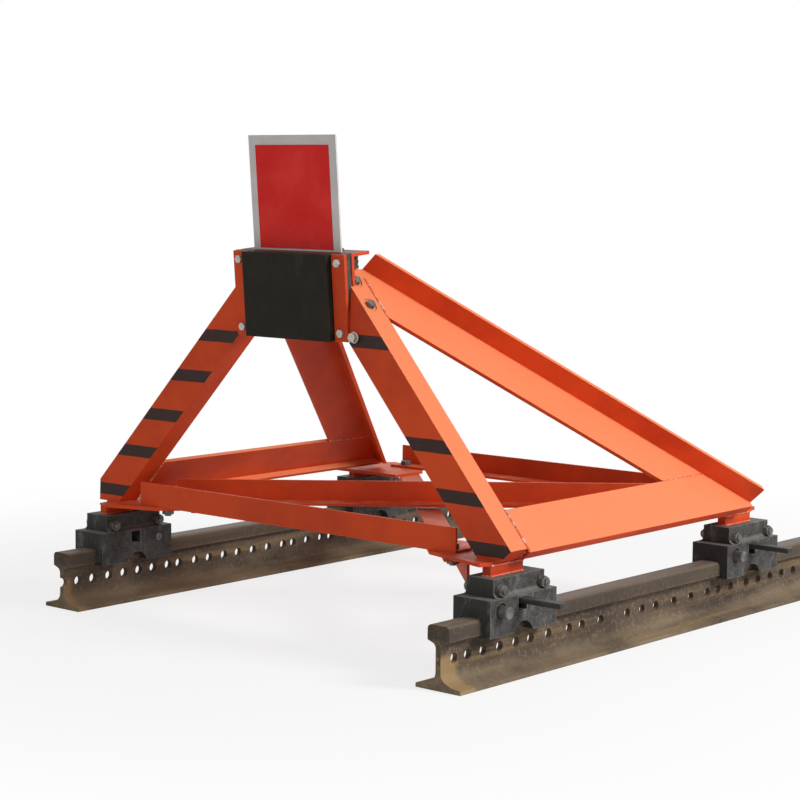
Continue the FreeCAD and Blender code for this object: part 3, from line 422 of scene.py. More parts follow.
@dataclass(frozen=True)
class RailSteel:
    """Rolled rail steel under brown rust, worn on the head and clay-coloured low on the web."""

    name: str = "rail_steel"
    rust: Colour = tint(0.135, 0.096, 0.066)
    dark: Colour = tint(0.050, 0.036, 0.026)
    clay: Colour = tint(0.33, 0.245, 0.150)
    ochre: Colour = tint(0.36, 0.235, 0.105)
    worn: Colour = tint(0.14, 0.113, 0.088)
    clay_height: tuple[float, float] = (0.075, 0.02)
    sawn_depth: tuple[float, float] = (-0.060, -0.085)
    sawn_height: tuple[float, float] = (0.100, 0.080)
    shoulder_height: tuple[float, float] = (0.128, 0.140)
    tread_height: tuple[float, float] = (0.155, 0.168)
    along_grain: Point = (1.0, 0.06, 1.0)
    edge_reach: float = 0.003
    specular: float = 0.35

    def material(self) -> bpy.types.Material:
        """Build the rust.

        Returns:
            The material.
        """
        g = Graph.of(self.name)
        height = g.axis(g.place(), "Z")
        upward = g.normal("Z")
        cloud = g.noise(5.0, 6.0, 0.62, (1.0, 0.45, 1.0))
        streak = g.noise(60.0, 5.0, 0.6, self.along_grain)
        grit = g.noise(310.0, 4.0, 0.7)
        scale = g.noise(90.0, 6.0, 0.68)
        long = g.noise(26.0, 5.0, 0.6, (1.0, 0.035, 1.0))
        colour = g.blend(cloud.step(0.3, 0.72), self.dark, self.rust)
        colour = g.blend(scale.step(0.50, 0.66) * 0.65, colour, g.blend(cloud, self.rust, self.clay))
        colour = g.blend(long.step(0.52, 0.68) * 0.45, colour, self.ochre)
        colour = g.blend(long.step(0.46, 0.34) * 0.40, colour, self.dark)
        low = height.step(*self.clay_height) * cloud.step(0.30, 0.62)
        colour = g.blend(low * 0.45 + upward.step(0.3, 0.9) * 0.15, colour, self.clay)
        along = g.axis(g.place(), "Y") + (cloud - 0.5) * 0.05
        sawn = along.step(*self.sawn_depth) * height.step(*self.sawn_height)
        sawn = sawn * (1.0 - g.normal("Y").step(-0.6, -0.9))
        colour = g.blend(sawn * 0.75, colour, self.ochre)
        tread = height.step(*self.tread_height) * upward.step(0.35, 0.9)
        colour = g.blend(tread * (0.45 + 0.5 * streak.step(0.35, 0.7)), colour, self.worn)
        shoulder = height.step(*self.shoulder_height) * (1.0 - tread)
        colour = g.blend(shoulder * scale.step(0.42, 0.70) * 0.22, colour, self.worn)
        colour = g.blend(shoulder * 0.65, colour, self.dark)
        colour = g.blend(g.edges(self.edge_reach) * 0.35 * grit.step(0.4, 0.6), colour, self.worn)
        colour = g.blend(grit.step(0.60, 0.72) * 0.55, colour, self.dark)
        relief = g.bump(scale, 0.0011, 0.55)
        relief = g.bump(grit, 0.0004, 0.6, relief)
        return g.surface(
            {"Specular IOR Level": self.specular},
            {"Base Color": colour, "Roughness": 0.86 - tread * 0.24, "Metallic": tread * 0.15,
             "Normal": relief},
        )


@dataclass(frozen=True)
class CastIron:
    """Dark cast iron with a sand-cast skin, dusty on its ledges, with painted light on its flanks: faces that
    look across the track are painted paler.
    """

    name: str = "clamp_iron"
    skin: Colour = tint(0.0115, 0.011, 0.0105)
    # Besides mottling and rubbed wear, pale and rubbed also paint the faces across the track lighter, as
    # painted light.
    pale: Colour = tint(0.045, 0.043, 0.039)
    rubbed: Colour = tint(0.26, 0.25, 0.235)
    dust: Colour = tint(0.20, 0.185, 0.165)
    rust: Colour = tint(0.13, 0.06, 0.03)
    cloud_scale: float = 9.0
    lump_scale: float = 48.0
    sand_scale: float = 330.0
    smear_scale: float = 20.0
    rust_scale: float = 34.0
    edge_reach: float = 0.004
    specular: float = 0.3

    def material(self) -> bpy.types.Material:
        """Build the cast skin.

        Returns:
            The material.
        """
        g = Graph.of(self.name)
        cloud = g.noise(self.cloud_scale, 6.0, 0.65)
        sand = g.noise(self.sand_scale, 4.0, 0.7)
        lump = g.noise(self.lump_scale, 5.0, 0.6)
        # Painted light: faces that look across the track are painted paler and greyer, as lit faces.
        painted_lit_flank = abs(g.normal("X")).step(0.6, 0.95)
        greyed_and_painted_lit = cloud.step(0.32, 0.70) * 0.6 + painted_lit_flank * lump.step(0.36, 0.62) * 0.9
        colour = g.blend(greyed_and_painted_lit, self.skin, self.pale)
        colour = g.blend(painted_lit_flank * sand.step(0.52, 0.68) * 0.5, colour, self.rubbed)
        smear = g.noise(self.smear_scale, 6.0, 0.7, (1.0, 1.0, 0.4)).step(0.52, 0.68)
        colour = g.blend(smear * 0.38, colour, self.rubbed)
        colour = g.blend(g.normal("Z").step(0.15, 0.7) * (0.30 + 0.55 * lump), colour, self.dust)
        # Corners are rubbed pale, more strongly on the faces across the track, where the extra paleness is
        # painted light.
        corners = g.edges(self.edge_reach) * (0.15 + 0.7 * lump) * (0.35 + 0.65 * painted_lit_flank)
        colour = g.blend(corners, colour, self.rubbed)
        colour = g.blend(g.noise(self.rust_scale, 5.0, 0.7).step(0.63, 0.70) * 0.5, colour, self.rust)
        relief = g.bump(lump, 0.0012, 0.35)
        relief = g.bump(sand, 0.0005, 0.55, relief)
        return g.surface(
            {"Specular IOR Level": self.specular},
            {"Base Color": colour, "Roughness": 0.55 + 0.28 * cloud, "Metallic": 0.1 * smear,
             "Normal": relief},
        )


@dataclass(frozen=True)
class Fastener:
    """Turned and pressed steel of bolts, nuts and washers."""

    name: str = "dark_fasteners"
    steel: Colour = tint(0.075, 0.070, 0.065)
    bright: Colour = tint(0.28, 0.27, 0.25)
    stain: Colour = tint(0.10, 0.055, 0.032)
    metallic: float = 0.55
    roughness: float = 0.42
    staining: float = 0.5
    cloud_scale: float = 60.0
    stain_scale: float = 95.0
    grain_scale: float = 420.0
    edge_reach: float = 0.0016
    specular: float = 0.5

    def material(self) -> bpy.types.Material:
        """Build the steel.

        Returns:
            The material.
        """
        g = Graph.of(self.name)
        cloud = g.noise(self.cloud_scale, 5.0, 0.6)
        colour = g.blend(cloud.step(0.35, 0.7) * 0.6, self.steel, self.bright)
        colour = g.blend(g.edges(self.edge_reach) * 0.6, colour, self.bright)
        stained = g.noise(self.stain_scale, 6.0, 0.7).step(0.52, 0.66) * self.staining
        colour = g.blend(stained, colour, self.stain)
        relief = g.bump(g.noise(self.grain_scale, 3.0, 0.6), 0.0003, 0.5)
        return g.surface(
            {"Specular IOR Level": self.specular},
            {"Base Color": colour, "Metallic": self.metallic * (1.0 - stained),
             "Roughness": self.roughness + 0.25 * cloud, "Normal": relief},
        )


@dataclass(frozen=True)
class PadRubber:
    """Black rubber with moulding marks, scuffs and dry dust."""

    name: str = "pad_rubber"
    rubber: Colour = tint(0.014, 0.0115, 0.0085)
    dry: Colour = tint(0.026, 0.022, 0.016)
    dust: Colour = tint(0.075, 0.062, 0.044)
    cloud_scale: float = 11.0
    scuff_scale: float = 26.0
    mould_scale: float = 30.0
    grain_scale: float = 300.0
    edge_reach: float = 0.004
    specular: float = 0.15

    def material(self) -> bpy.types.Material:
        """Build the rubber.

        Returns:
            The material.
        """
        g = Graph.of(self.name)
        cloud = g.noise(self.cloud_scale, 6.0, 0.62)
        scuff = g.noise(self.scuff_scale, 6.0, 0.7, (1.0, 1.0, 0.22)).step(0.56, 0.72)
        colour = g.blend(cloud.step(0.3, 0.72), self.rubber, self.dry)
        colour = g.blend(scuff * 0.3, colour, self.dust)
        colour = g.blend(g.edges(self.edge_reach) * 0.45 * cloud, colour, self.dust)
        relief = g.bump(g.noise(self.mould_scale, 5.0, 0.6), 0.0012, 0.4)
        relief = g.bump(g.noise(self.grain_scale, 4.0, 0.65), 0.0003, 0.6, relief)
        return g.surface(
            {"Specular IOR Level": self.specular},
            {"Base Color": colour, "Roughness": 0.66 + 0.22 * cloud, "Normal": relief},
        )


@dataclass(frozen=True)
class SignSheet:
    """Reflective sheeting on the signal board, faded and wiped, with faint lines across."""

    name: str
    face: Colour
    faded: Colour
    dirt: Colour
    cloud_scale: float = 7.0
    wipe_scale: float = 40.0
    dirt_scale: float = 16.0
    bead_scale: float = 420.0
    edge_reach: float = 0.002
    specular: float = 0.12

    def material(self) -> bpy.types.Material:
        """Build the sheeting.

        Returns:
            The material.
        """
        g = Graph.of(self.name)
        cloud = g.noise(self.cloud_scale, 5.0, 0.6)
        wipe = g.noise(self.wipe_scale, 5.0, 0.6, (0.10, 1.0, 1.0))
        colour = g.blend(cloud.step(0.3, 0.75), self.face, self.faded)
        colour = g.blend(wipe.step(0.60, 0.80) * 0.40, colour, self.faded)
        colour = g.blend(g.noise(self.dirt_scale, 6.0, 0.7).step(0.55, 0.78) * 0.35, colour, self.dirt)
        colour = g.blend(g.edges(self.edge_reach) * 0.5, colour, self.dirt)
        relief = g.bump(g.cells(self.bead_scale), 0.00008, 0.5)
        relief = g.bump(wipe, 0.0002, 0.3, relief)
        return g.surface(
            {"Specular IOR Level": self.specular},
            {"Base Color": colour, "Roughness": 0.46 + 0.25 * cloud, "Normal": relief},
        )


@dataclass(frozen=True)
class BarSteel:
    """Black rolled bar, rubbed bright along its corners."""

    name: str = "key_steel"
    skin: Colour = tint(0.030, 0.029, 0.030)
    bright: Colour = tint(0.20, 0.195, 0.185)
    rust: Colour = tint(0.11, 0.055, 0.030)
    streak_scale: float = 45.0
    spot_scale: float = 70.0
    edge_reach: float = 0.003
    specular: float = 0.45

    def material(self) -> bpy.types.Material:
        """Build the rolled skin.

        Returns:
            The material.
        """
        g = Graph.of(self.name)
        streak = g.noise(self.streak_scale, 5.0, 0.6, (0.15, 1.0, 1.0))
        spots = g.noise(self.spot_scale, 6.0, 0.7)
        colour = g.blend(streak.step(0.42, 0.75) * 0.4, self.skin, self.bright)
        colour = g.blend(g.edges(self.edge_reach) * 0.6 * spots, colour, self.bright)
        colour = g.blend(spots.step(0.56, 0.66) * 0.6, colour, self.rust)
        return g.surface(
            {"Specular IOR Level": self.specular},
            {"Base Color": colour, "Roughness": 0.45 + 0.25 * spots, "Metallic": 0.35 + 0.2 * streak,
             "Normal": g.bump(spots, 0.0004, 0.5)},
        )


@dataclass(frozen=True)
class WeldMetal:
    """Painted weld bead, with pale spots painted on as highlights of its ripples."""

    name: str = "weld_metal"
    paint: Colour = tint(0.72, 0.13, 0.05)
    # Pale tone that stands in for glints on the bead: painted highlight.
    bare: Colour = tint(0.74, 0.52, 0.42)
    burnt: Colour = tint(0.09, 0.045, 0.03)
    spatter_scale: float = 55.0
    burn_scale: float = 80.0
    grain_scale: float = 260.0
    specular: float = 0.4

    def material(self) -> bpy.types.Material:
        """Build the bead's skin.

        Returns:
            The material.
        """
        g = Graph.of(self.name)
        spots = g.noise(self.spatter_scale, 5.0, 0.7)
        # Painted highlights: pale spots stand in for glints on the bead's ripples.
        colour = g.blend(spots.step(0.50, 0.60) * 0.8, self.paint, self.bare)
        colour = g.blend(g.noise(self.burn_scale, 4.0, 0.6).step(0.56, 0.64) * 0.55, colour, self.burnt)
        relief = g.bump(g.noise(self.grain_scale, 3.0, 0.6), 0.0004, 0.6)
        return g.surface(
            {"Specular IOR Level": self.specular},
            {"Base Color": colour, "Roughness": 0.38 + 0.3 * spots, "Normal": relief},
        )


BLACK_TOPPED = OrangePaint("orange_paint_black_top", black_top=True)
ZINC_PLATE = Fastener("zinc_fasteners", steel=tint(0.42, 0.40, 0.36), bright=tint(0.66, 0.64, 0.58),
                      stain=tint(0.20, 0.13, 0.08), metallic=0.75, roughness=0.36, staining=0.3)
SHIM_STEEL = BarSteel("shim_steel", skin=tint(0.045, 0.036, 0.030), bright=tint(0.20, 0.17, 0.14),
                      rust=tint(0.30, 0.07, 0.03))
GREY_SHEET = SignSheet("board_grey", face=tint(0.58, 0.55, 0.54), faded=tint(0.70, 0.67, 0.65),
                       dirt=tint(0.36, 0.33, 0.31))
RED_SHEET = SignSheet("board_red", face=tint(0.68, 0.019, 0.016), faded=tint(0.78, 0.046, 0.038),
                      dirt=tint(0.44, 0.014, 0.013))


class Bench:
    """Operator work on one mesh at a time, always from a clean selection."""

    face_weight: int = 80

    @staticmethod
    def take(piece: bpy.types.Object) -> None:
        """Select one object alone and make it active.

        Args:
            piece: The object.
        """
        bpy.ops.object.select_all(action="DESELECT")
        piece.select_set(True)
        bpy.context.view_layer.objects.active = piece

    @staticmethod
    def open(piece: bpy.types.Object, action: str) -> None:
        """Open a mesh for editing.

        Args:
            piece: The object.
            action: SELECT or DESELECT, for all of the mesh.
        """
        Bench.take(piece)
        bpy.ops.object.mode_set(mode="EDIT")
        bpy.ops.mesh.select_all(action=action)

    @staticmethod
    def close() -> None:
        """Leave edit mode."""
        bpy.ops.object.mode_set(mode="OBJECT")

    @staticmethod
    def pick(piece: bpy.types.Object, test: Callable[[Vector], bool]) -> None:
        """Open a mesh for editing with only the vertices selected that pass a test.

        Args:
            piece: The object.
            test: Function of a vertex's place.
        """
        Bench.open(piece, "DESELECT")
        bpy.ops.mesh.select_mode(type="VERT")
        Bench.close()
        for vertex in piece.data.vertices:
            vertex.select = test(vertex.co)
        bpy.ops.object.mode_set(mode="EDIT")

    @staticmethod
    def finish(piece: bpy.types.Object, kind: str, **settings: object) -> None:
        """Add a modifier, set it and apply it.

        Args:
            piece: The object.
            kind: Type of the modifier.
            **settings: Its options.
        """
        Bench.take(piece)
        modifier = piece.modifiers.new(kind.lower(), kind)
        for name, value in settings.items():
            setattr(modifier, name, value)
        bpy.ops.object.modifier_apply(modifier=modifier.name)

    @staticmethod
    def put(piece: bpy.types.Object, matrix: Matrix) -> None:
        """Move a piece and apply the move to its mesh.

        Args:
            piece: The object.
            matrix: Its new place.
        """
        Bench.take(piece)
        piece.matrix_world = matrix
        bpy.ops.object.transform_apply(location=True, rotation=True, scale=True)

    @staticmethod
    def smooth(piece: bpy.types.Object, degrees: float = 35.0) -> None:
        """Smooth the shading across shallow edges and keep flat faces flat.

        Args:
            piece: The object.
            degrees: Angle up to which an edge is shallow.
        """
        Bench.take(piece)
        bpy.ops.object.shade_smooth_by_angle(angle=math.radians(degrees))
        Bench.finish(piece, "WEIGHTED_NORMAL", keep_sharp=True, weight=Bench.face_weight)

    @staticmethod
    def copy(piece: bpy.types.Object, name: str) -> bpy.types.Object:
        """Copy a piece with its own mesh.

        Args:
            piece: The object.
            name: Name of the copy.

        Returns:
            The copy.
        """
        twin = bpy.data.objects.new(name, piece.data.copy())
        twin.data.name = name
        bpy.context.scene.collection.objects.link(twin)
        return twin

    @staticmethod
    def join(pieces: Sequence[bpy.types.Object], name: str) -> bpy.types.Object:
        """Make one object of several.

        Args:
            pieces: The objects.
            name: Name of the result.

        Returns:
            The joined object.
        """
        Bench.take(pieces[0])
        for piece in pieces[1:]:
            piece.select_set(True)
        if len(pieces) > 1:
            bpy.ops.object.join()
        pieces[0].name = name
        pieces[0].data.name = name
        return pieces[0]


def aim(start: Vector, end: Vector) -> Matrix:
    """Placement that carries the Z axis from a start towards an end."""
    turn = (end - start).to_track_quat("Z", "Y").to_matrix().to_4x4()
    return Matrix.Translation(start) @ turn


@dataclass(frozen=True)
class WeldBead:
    """Weld bead as a row of overlapping ripples, with its lengths as shares of its radius."""

    radius: float = 0.0035
    pitch: float = 0.9
    valley: float = 0.84
    crest: float = 1.24
    unevenness: float = 0.16
    merging: float = 0.02
    sides: int = 8
    first_seed: int = 3
    shallow: float = 50.0

    def ripple(self, length: float) -> bpy.types.Object:
        """Model one ripple, thicker at its middle.

        Args:
            length: Length of the ripple.

        Returns:
            The ripple, standing open on the origin.
        """
        bpy.ops.object.select_all(action="DESELECT")
        bpy.ops.mesh.primitive_cylinder_add(vertices=self.sides, radius=self.radius * self.valley, depth=length,
                                            end_fill_type="NOTHING", location=(0, 0, length / 2))
        piece = bpy.context.active_object
        bpy.ops.object.transform_apply(location=True, rotation=True, scale=True)
        Bench.open(piece, "SELECT")
        bpy.ops.mesh.subdivide(number_cuts=1)
        Bench.close()
        Bench.pick(piece, lambda place: abs(place.z - length / 2) < length / 8)
        bpy.ops.transform.resize(value=(self.crest, self.crest, 1.0), center_override=(0, 0, length / 2))
        Bench.close()
        return piece

    def lay(self, run: Run, seed: int) -> bpy.types.Object:
        """Repeat the ripple along a run, close its ends and make it uneven.

        Args:
            run: Start and end of the bead.
            seed: Seed of its unevenness.

        Returns:
            The bead.
        """
        start, end = (Vector(point) for point in run)
        step = self.radius * self.pitch
        piece = self.ripple(step)
        Bench.finish(piece, "ARRAY", count=max(2, int((end - start).length / step)), use_relative_offset=True,
                     relative_offset_displace=(0.0, 0.0, 1.0), use_merge_vertices=True,
                     merge_threshold=self.radius * self.merging)
        Bench.open(piece, "DESELECT")
        bpy.ops.mesh.select_mode(type="EDGE")
        bpy.ops.mesh.select_non_manifold()
        bpy.ops.mesh.edge_face_add()
        bpy.ops.mesh.select_all(action="SELECT")
        bpy.ops.transform.vertex_random(offset=self.radius * self.unevenness, seed=seed)
        bpy.ops.mesh.normals_make_consistent(inside=False)
        Bench.close()
        Bench.put(piece, aim(start, end))
        return piece

    def build(self, runs: Sequence[Run], name: str) -> bpy.types.Object:
        """Lay beads along straight runs.

        Args:
            runs: Start and end of each run.
            name: Name of the piece.

        Returns:
            The piece.
        """
        beads = [self.lay(run, self.first_seed + index) for index, run in enumerate(runs)]
        piece = Bench.join(beads, name)
        Bench.smooth(piece, self.shallow)
        return piece


@dataclass
class Workshop:
    """Packed nodes, finishes and the steps that every sub-assembly uses."""

    frame: dict
    paints: dict[str, bpy.types.Material] = field(default_factory=dict)
    merging: float = 0.00002
    flat: float = math.radians(0.4)
    sharp: float = math.radians(32.0)

    def paint(self, finish: Finish) -> bpy.types.Material:
        """Material of a finish, built once.

        Args:
            finish: The finish.

        Returns:
            The material.
        """
        if finish.name not in self.paints:
            self.paints[finish.name] = finish.material()
        return self.paints[finish.name]

    def refine(self, node: str, finish: Finish, edge: float, steps: int = 2) -> bpy.types.Object:
        """Stand a merged, edge-rounded and finished copy in the place of a node.

        Args:
            node: Name of the node.
            finish: Its finish.
            edge: Width of its rounded edges.
            steps: Segments across an edge.

        Returns:
            The piece.
        """
        source = self.frame["nodes"][node]
        piece = Bench.copy(source, node + "_finished")
        Bench.take(piece)
        bpy.ops.mesh.customdata_custom_splitnormals_clear()
        Bench.open(piece, "SELECT")
        bpy.ops.mesh.remove_doubles(threshold=self.merging)
        bpy.ops.mesh.dissolve_limited(angle_limit=self.flat)
        Bench.close()
        Bench.finish(piece, "BEVEL", width=edge, segments=steps, limit_method="ANGLE",
                     angle_limit=self.sharp, miter_outer="MITER_ARC")
        Bench.smooth(piece)
        self.stand(piece, source["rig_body"], finish)
        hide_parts(node)
        return piece

    def stand(self, piece: bpy.types.Object, body: str, finish: Finish) -> None:
        """Give a piece its material, body and slot.

        Args:
            piece: The piece.
            body: Body that it rides on.
            finish: Its finish.
        """
        piece.data.materials.clear()
        piece.data.materials.append(self.paint(finish))
        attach(piece, body)
        log.info("%s: %d faces", piece.name, len(piece.data.polygons))

    def weld(self, runs: Sequence[Run], name: str, bead: WeldBead) -> None:
        """Lay weld beads on the frame.

        Args:
            runs: Start and end of each run.
            name: Name of the piece.
            bead: Kind of bead.
        """
        self.stand(bead.build(runs, name), "buffer_frame", WeldMetal())


class Assembly(Protocol):
    """Sub-assembly of the buffer stop."""

    def build(self, shop: Workshop) -> None:
        """Build and dress the pieces."""


@dataclass
class Track:
    """Two sawn rails with web holes."""

    edge: float = 0.0012

    def build(self, shop: Workshop) -> None:
        """Dress both rails."""
        for side in Side:
            shop.refine("rail_" + side.word, RailSteel(), self.edge)


@dataclass
class RailClamp:
    """One of the four clamps: two jaws on a rail head, four bolts and a riser plate."""

    side: Side
    end: End
    rail: float = 0.7535
    casting_edge: float = 0.0032
    bolt_edge: float = 0.0014
    plate_edge: float = 0.0012
    riser_out: float = 0.014
    riser_front: float = 0.060
    riser_back: float = 0.200
    jaw_top: float = 0.273
    plate_low: float = 0.302
    plate_out: float = 0.015
    bead: WeldBead = WeldBead()

    def build(self, shop: Workshop) -> None:
        """Dress the jaws and bolts and lay the riser's welds.

        Args:
            shop: The workshop.
        """
        tag = f"{self.end.word}_{self.side.word}"
        for part in ("inner_jaw", "outer_jaw"):
            shop.refine(f"{part}_{tag}", CastIron(), self.casting_edge)
        for part in ("cross_bolts", "cross_nuts", "jaw_bolts"):
            shop.refine(f"{part}_{tag}", Fastener(), self.bolt_edge)
        shop.refine(f"riser_plate_{tag}", OrangePaint(), self.plate_edge)
        shop.weld(self.riser_runs(), "riser_weld_" + tag, self.bead)

    def across(self, out: float) -> float:
        """Place across the track, from a distance out of the rail's middle."""
        return self.side.value * (self.rail + out)

    def riser_runs(self) -> list[Run]:
        """Runs round the riser, on the clamp and under the gusset plate.

        Returns:
            The runs.
        """
        near, far = self.end.value + self.riser_front, self.end.value + self.riser_back
        runs: list[Run] = []
        for height, outer in ((self.jaw_top, self.riser_out), (self.plate_low, self.plate_out)):
            for out in (-self.riser_out, outer):
                runs.append(((self.across(out), near, height), (self.across(out), far, height)))
            for along in (near, far):
                ends = [(self.across(out), along, height) for out in (-self.riser_out, self.riser_out)]
                runs.append((ends[0], ends[1]))
        return runs


@dataclass
class KeyBars:
    """Flat bars pushed into the square holes of the right clamps."""

    edge: float = 0.0015

    def build(self, shop: Workshop) -> None:
        """Dress both bars."""
        for end in End:
            shop.refine("key_bar_" + end.word, BarSteel(), self.edge)


@dataclass
class LowerFrame:
    """Gusset plates, cross beams, diagonals and their bolts."""

    edge: float = 0.0012
    bolt_edge: float = 0.0012

    def build(self, shop: Workshop) -> None:
        """Dress the angles, the plates and the bolts.

        Args:
            shop: The workshop.
        """
        for name in ("front_cross_beam", "rear_cross_beam", "upper_diagonal", "lower_diagonal"):
            shop.refine(name, OrangePaint(), self.edge)
        for end in End:
            for side in Side:
                shop.refine(f"gusset_{end.word}_{side.word}", OrangePaint(), self.edge)
        shop.refine("gusset_bolts", Fastener(), self.bolt_edge)


@dataclass
class SideFrame:
    """One leaning side of the A-frame: front strut, rear strut and base beam."""

    side: Side
    lean: float = math.radians(42.1)
    foot: float = 0.8285
    base: float = 0.3338
    beam_depth: float = 0.139
    strut_rear: float = 0.1518
    strut_depth: float = 0.106
    rake: float = 0.0423
    brace_slope: float = 1.095
    brace_low: float = 1.061
    brace_root: float = 1.272
    brace_lead: float = 0.015
    brace_top: float = 0.972
    edge: float = 0.0014
    bands_left: tuple[float, ...] = (0.845, 0.7205, 0.595, 0.476, 0.349)
    bands_right: tuple[float, ...] = (0.860, 0.595, 0.466, 0.339)
    weld_low: float = 0.004
    weld_short: float = 0.03
    strut_bead: WeldBead = WeldBead(0.004)
    seam_bead: WeldBead = WeldBead(0.0022)

    @property
    def inset(self) -> float:
        """Distance from the strut's outer face in to the bars, which are on its inner face on the left."""
        return self.strut_depth if self.side is Side.LEFT else 0.0

    @property
    def lift(self) -> float:
        """Length up the frame that the bars stand higher by, to keep their height so far in."""
        return self.inset * math.tan(self.lean)

    def point(self, along: float, up: float) -> Point:
        """Place on the face of the base beam and the rear strut.

        Args:
            along: Distance along the track.
            up: Length up the frame from the beam's lower edge.

        Returns:
            The point in the row frame.
        """
        raised = up + self.lift
        across = self.foot - self.inset * math.cos(self.lean) - raised * math.sin(self.lean)
        height = self.base - self.inset * math.sin(self.lean) + raised * math.cos(self.lean)
        return (self.side.value * across, along, height)

    def strut_back(self, up: float) -> Point:
        """Point on the rear edge of the front strut, at a length up the frame."""
        return self.point(self.strut_rear + self.rake * (up + self.lift), up)

    def build(self, shop: Workshop) -> None:
        """Dress the profiles and lay the welds.

        Args:
            shop: The workshop.
        """
        bands = self.bands_left if self.side is Side.LEFT else self.bands_right
        banded = OrangePaint(name="orange_paint_banded_" + self.side.word, bands=bands)
        shop.refine("front_strut_" + self.side.word, banded, self.edge)
        shop.refine("rear_strut_" + self.side.word, OrangePaint(), self.edge)
        shop.refine("base_beam_" + self.side.word, OrangePaint(), self.edge)
        shop.weld(self.strut_runs(), "side_weld_" + self.side.word, self.strut_bead)
        shop.weld([self.seam_run()], "seam_weld_" + self.side.word, self.seam_bead)

    def strut_runs(self) -> list[Run]:
        """Runs down the front strut, at the end of the base beam and of the rear strut.

        Returns:
            The runs.
        """
        crossing = (self.brace_low - self.strut_rear - self.rake * self.lift) / (self.brace_slope + self.rake)
        spans = ((self.weld_low, self.beam_depth), (crossing, self.brace_top - self.weld_short))
        return [(self.strut_back(low), self.strut_back(high)) for low, high in spans]

    def seam_run(self) -> Run:
        """Run along the top of the base beam, where the rear strut stands on it.

        Returns:
            The run.
        """
        lead = self.brace_lead if self.side is Side.LEFT else 0.0
        fall = self.brace_slope * self.beam_depth
        return (self.point(self.brace_low - fall, self.beam_depth),
                self.point(self.brace_root - lead - fall, self.beam_depth))


@dataclass
class StrikingHead:
    """Rubber-faced head: channel, plates, pad, strips, shims and bolts."""

    edge: float = 0.0010
    pad_edge: float = 0.0025
    pad_steps: int = 3
    plate_edge: float = 0.0006
    plate_steps: int = 1

    def build(self, shop: Workshop) -> None:
        """Dress the stack from the channel to the pad.

        Args:
            shop: The workshop.
        """
        for name in ("pad_strip_left", "pad_strip_right"):
            shop.refine(name, OrangePaint(), self.edge)
        shop.refine("head_channel", BLACK_TOPPED, self.edge)
        shop.refine("rubber_pad", PadRubber(), self.pad_edge, self.pad_steps)
        for name in ("strip_bolts", "head_bolts"):
            shop.refine(name, ZINC_PLATE, self.edge)
        shop.refine("strut_bolts", Fastener(), self.edge)
        for name in ("backing_plate", "spacer_plate", "shim_pack_left", "shim_pack_right"):
            shop.refine(name, SHIM_STEEL, self.plate_edge, self.plate_steps)


@dataclass
class SignalBoard:
    """Grey board with a red panel on a bolted angle."""

    edge: float = 0.0008

    def build(self, shop: Workshop) -> None:
        """Dress the board and its bracket.

        Args:
            shop: The workshop.
        """
        shop.refine("board_plate", GREY_SHEET, self.edge)
        shop.refine("red_panel", RED_SHEET, self.edge)
        shop.refine("board_bracket", OrangePaint(), self.edge)
        shop.refine("board_bolts", ZINC_PLATE, self.edge)


@dataclass(frozen=True)
class Lamp:
    """Soft round lamp."""

    name: str
    spot: Point
    width: float
    watts: float

    def hang(self, target: Point) -> None:
        """Hang the lamp and turn it to its target.

        Args:
            target: Point that it looks at.
        """
        data = bpy.data.lights.new(self.name, "AREA")
        data.shape = "DISK"
        data.size = self.width
        data.energy = self.watts
        lamp = bpy.data.objects.new(self.name, data)
        bpy.context.scene.collection.objects.link(lamp)
        lamp.matrix_world = aim(Vector(self.spot), 2 * Vector(self.spot) - Vector(target))


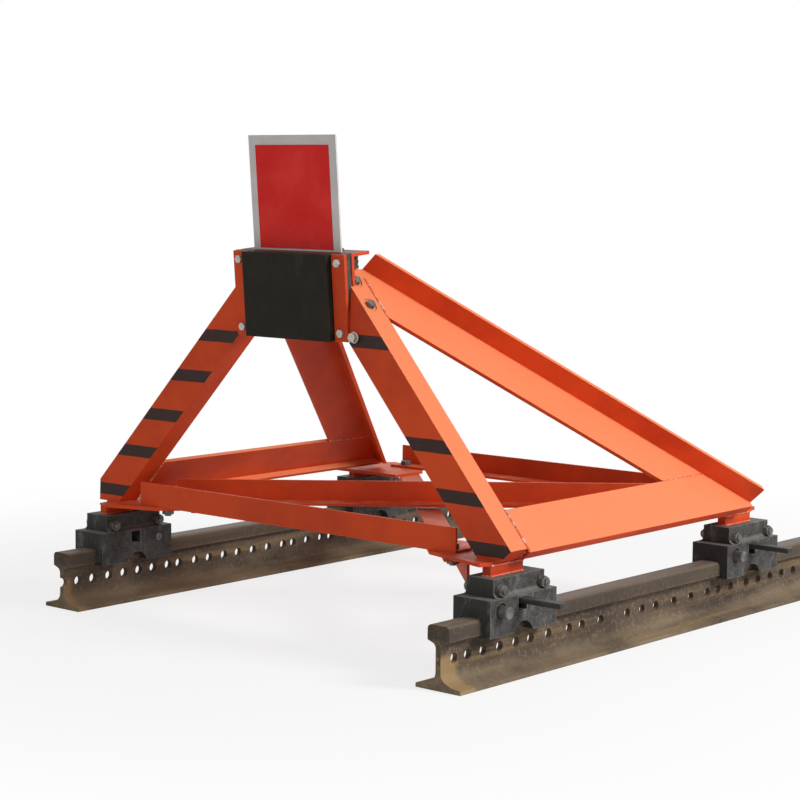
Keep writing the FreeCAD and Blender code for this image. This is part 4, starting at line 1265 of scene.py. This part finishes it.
@dataclass
class Studio:
    """Camera, lamps, world and floor."""

    eye: Point = (4.180744, -4.273505, 1.314445)
    yaw: float = math.radians(40.733)
    pitch: float = math.radians(5.978)
    roll: float = math.radians(0.517)
    lens: float = 95.985
    sensor: float = 36.0
    target: Point = (0.0, 0.6, 0.5)
    lamps: tuple[Lamp, ...] = (
        Lamp("key_lamp", (5.8, 2.0, 3.9), 2.4, 385.0),
        Lamp("fill_lamp", (0.5, -6.0, 3.2), 4.0, 70.0),
        Lamp("back_lamp", (-3.5, 5.5, 3.5), 4.0, 50.0),
    )
    sky: float = 0.30
    white: Colour = tint(1.0, 1.0, 1.0)
    floor_paint: Colour = tint(0.86, 0.855, 0.85)
    floor_half: float = 40.0
    floor_drop: float = 0.0006
    shadow_centre: Point = (0.0, 0.75, 0.0)
    shadow_reach: tuple[float, float] = (1.3, 2.9)
    near_glow: float = 0.78

    def build(self) -> None:
        """Set up the stage."""
        self.camera()
        self.world()
        self.floor()
        for lamp in self.lamps:
            lamp.hang(self.target)
        bpy.context.scene.view_settings.view_transform = "Standard"

    def camera(self) -> None:
        """Stand the camera where the photograph was taken."""
        ahead = Vector((-math.sin(self.yaw) * math.cos(self.pitch), math.cos(self.yaw) * math.cos(self.pitch),
                        -math.sin(self.pitch)))
        level = Vector((math.cos(self.yaw), math.sin(self.yaw), 0.0))
        upright = level.cross(ahead)
        right = math.cos(self.roll) * level + math.sin(self.roll) * upright
        top = math.cos(self.roll) * upright - math.sin(self.roll) * level
        data = bpy.data.cameras.new("camera")
        data.sensor_width = self.sensor
        data.lens = self.lens
        camera = bpy.data.objects.new("camera", data)
        bpy.context.scene.collection.objects.link(camera)
        turn = Matrix((right, top, -ahead)).transposed().to_4x4()
        camera.matrix_world = Matrix.Translation(self.eye) @ turn
        bpy.context.scene.camera = camera

    def world(self) -> None:
        """White for the camera and for reflections, a plain soft light for the rest."""
        bpy.context.scene.world = bpy.data.worlds.new("studio")
        g = Graph(bpy.context.scene.world)
        soft = g.node("ShaderNodeBackground", None, {"Color": self.white, "Strength": self.sky})
        bright = g.node("ShaderNodeBackground", None, {"Color": self.white, "Strength": 1.0})
        g.close(g.node("ShaderNodeMixShader", None, {0: g.seen(), 1: soft, 2: bright}))

    def floor(self) -> None:
        """Lay a pale floor that keeps the shadow and is white round it."""
        bpy.ops.object.select_all(action="DESELECT")
        bpy.ops.mesh.primitive_plane_add(size=2 * self.floor_half, location=(0, 0, -self.floor_drop))
        floor = bpy.context.active_object
        floor.name = "floor"
        bpy.ops.object.transform_apply(location=True, rotation=True, scale=True)
        g = Graph.of("floor_white")
        inputs = {0: g.place(), 1: self.shadow_centre}
        away = g.node("ShaderNodeVectorMath", {"operation": "DISTANCE"}, inputs, "Value")
        share = self.near_glow + (1.0 - self.near_glow) * away.step(*self.shadow_reach)
        plain_floor = g.node("ShaderNodeBsdfDiffuse", None, {"Color": self.floor_paint})
        glow = g.node("ShaderNodeEmission", None, {"Color": self.white, "Strength": 1.0})
        g.close(g.node("ShaderNodeMixShader", None, {0: g.seen() * share, 1: plain_floor, 2: glow}))
        floor.data.materials.append(g.owner)


def main() -> None:
    """Build the sub-assemblies in order and report each piece."""
    logging.basicConfig(level=logging.INFO, format="%(name)s: %(message)s")
    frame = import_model()
    shop = Workshop(frame)
    assemblies: list[Assembly] = [Track(), KeyBars(), LowerFrame(), StrikingHead(), SignalBoard()]
    assemblies += [RailClamp(side, end) for side in Side for end in End]
    assemblies += [SideFrame(side) for side in Side]
    for assembly in assemblies:
        assembly.build(shop)
    Studio().build()


if __name__ == "__main__":
    main()
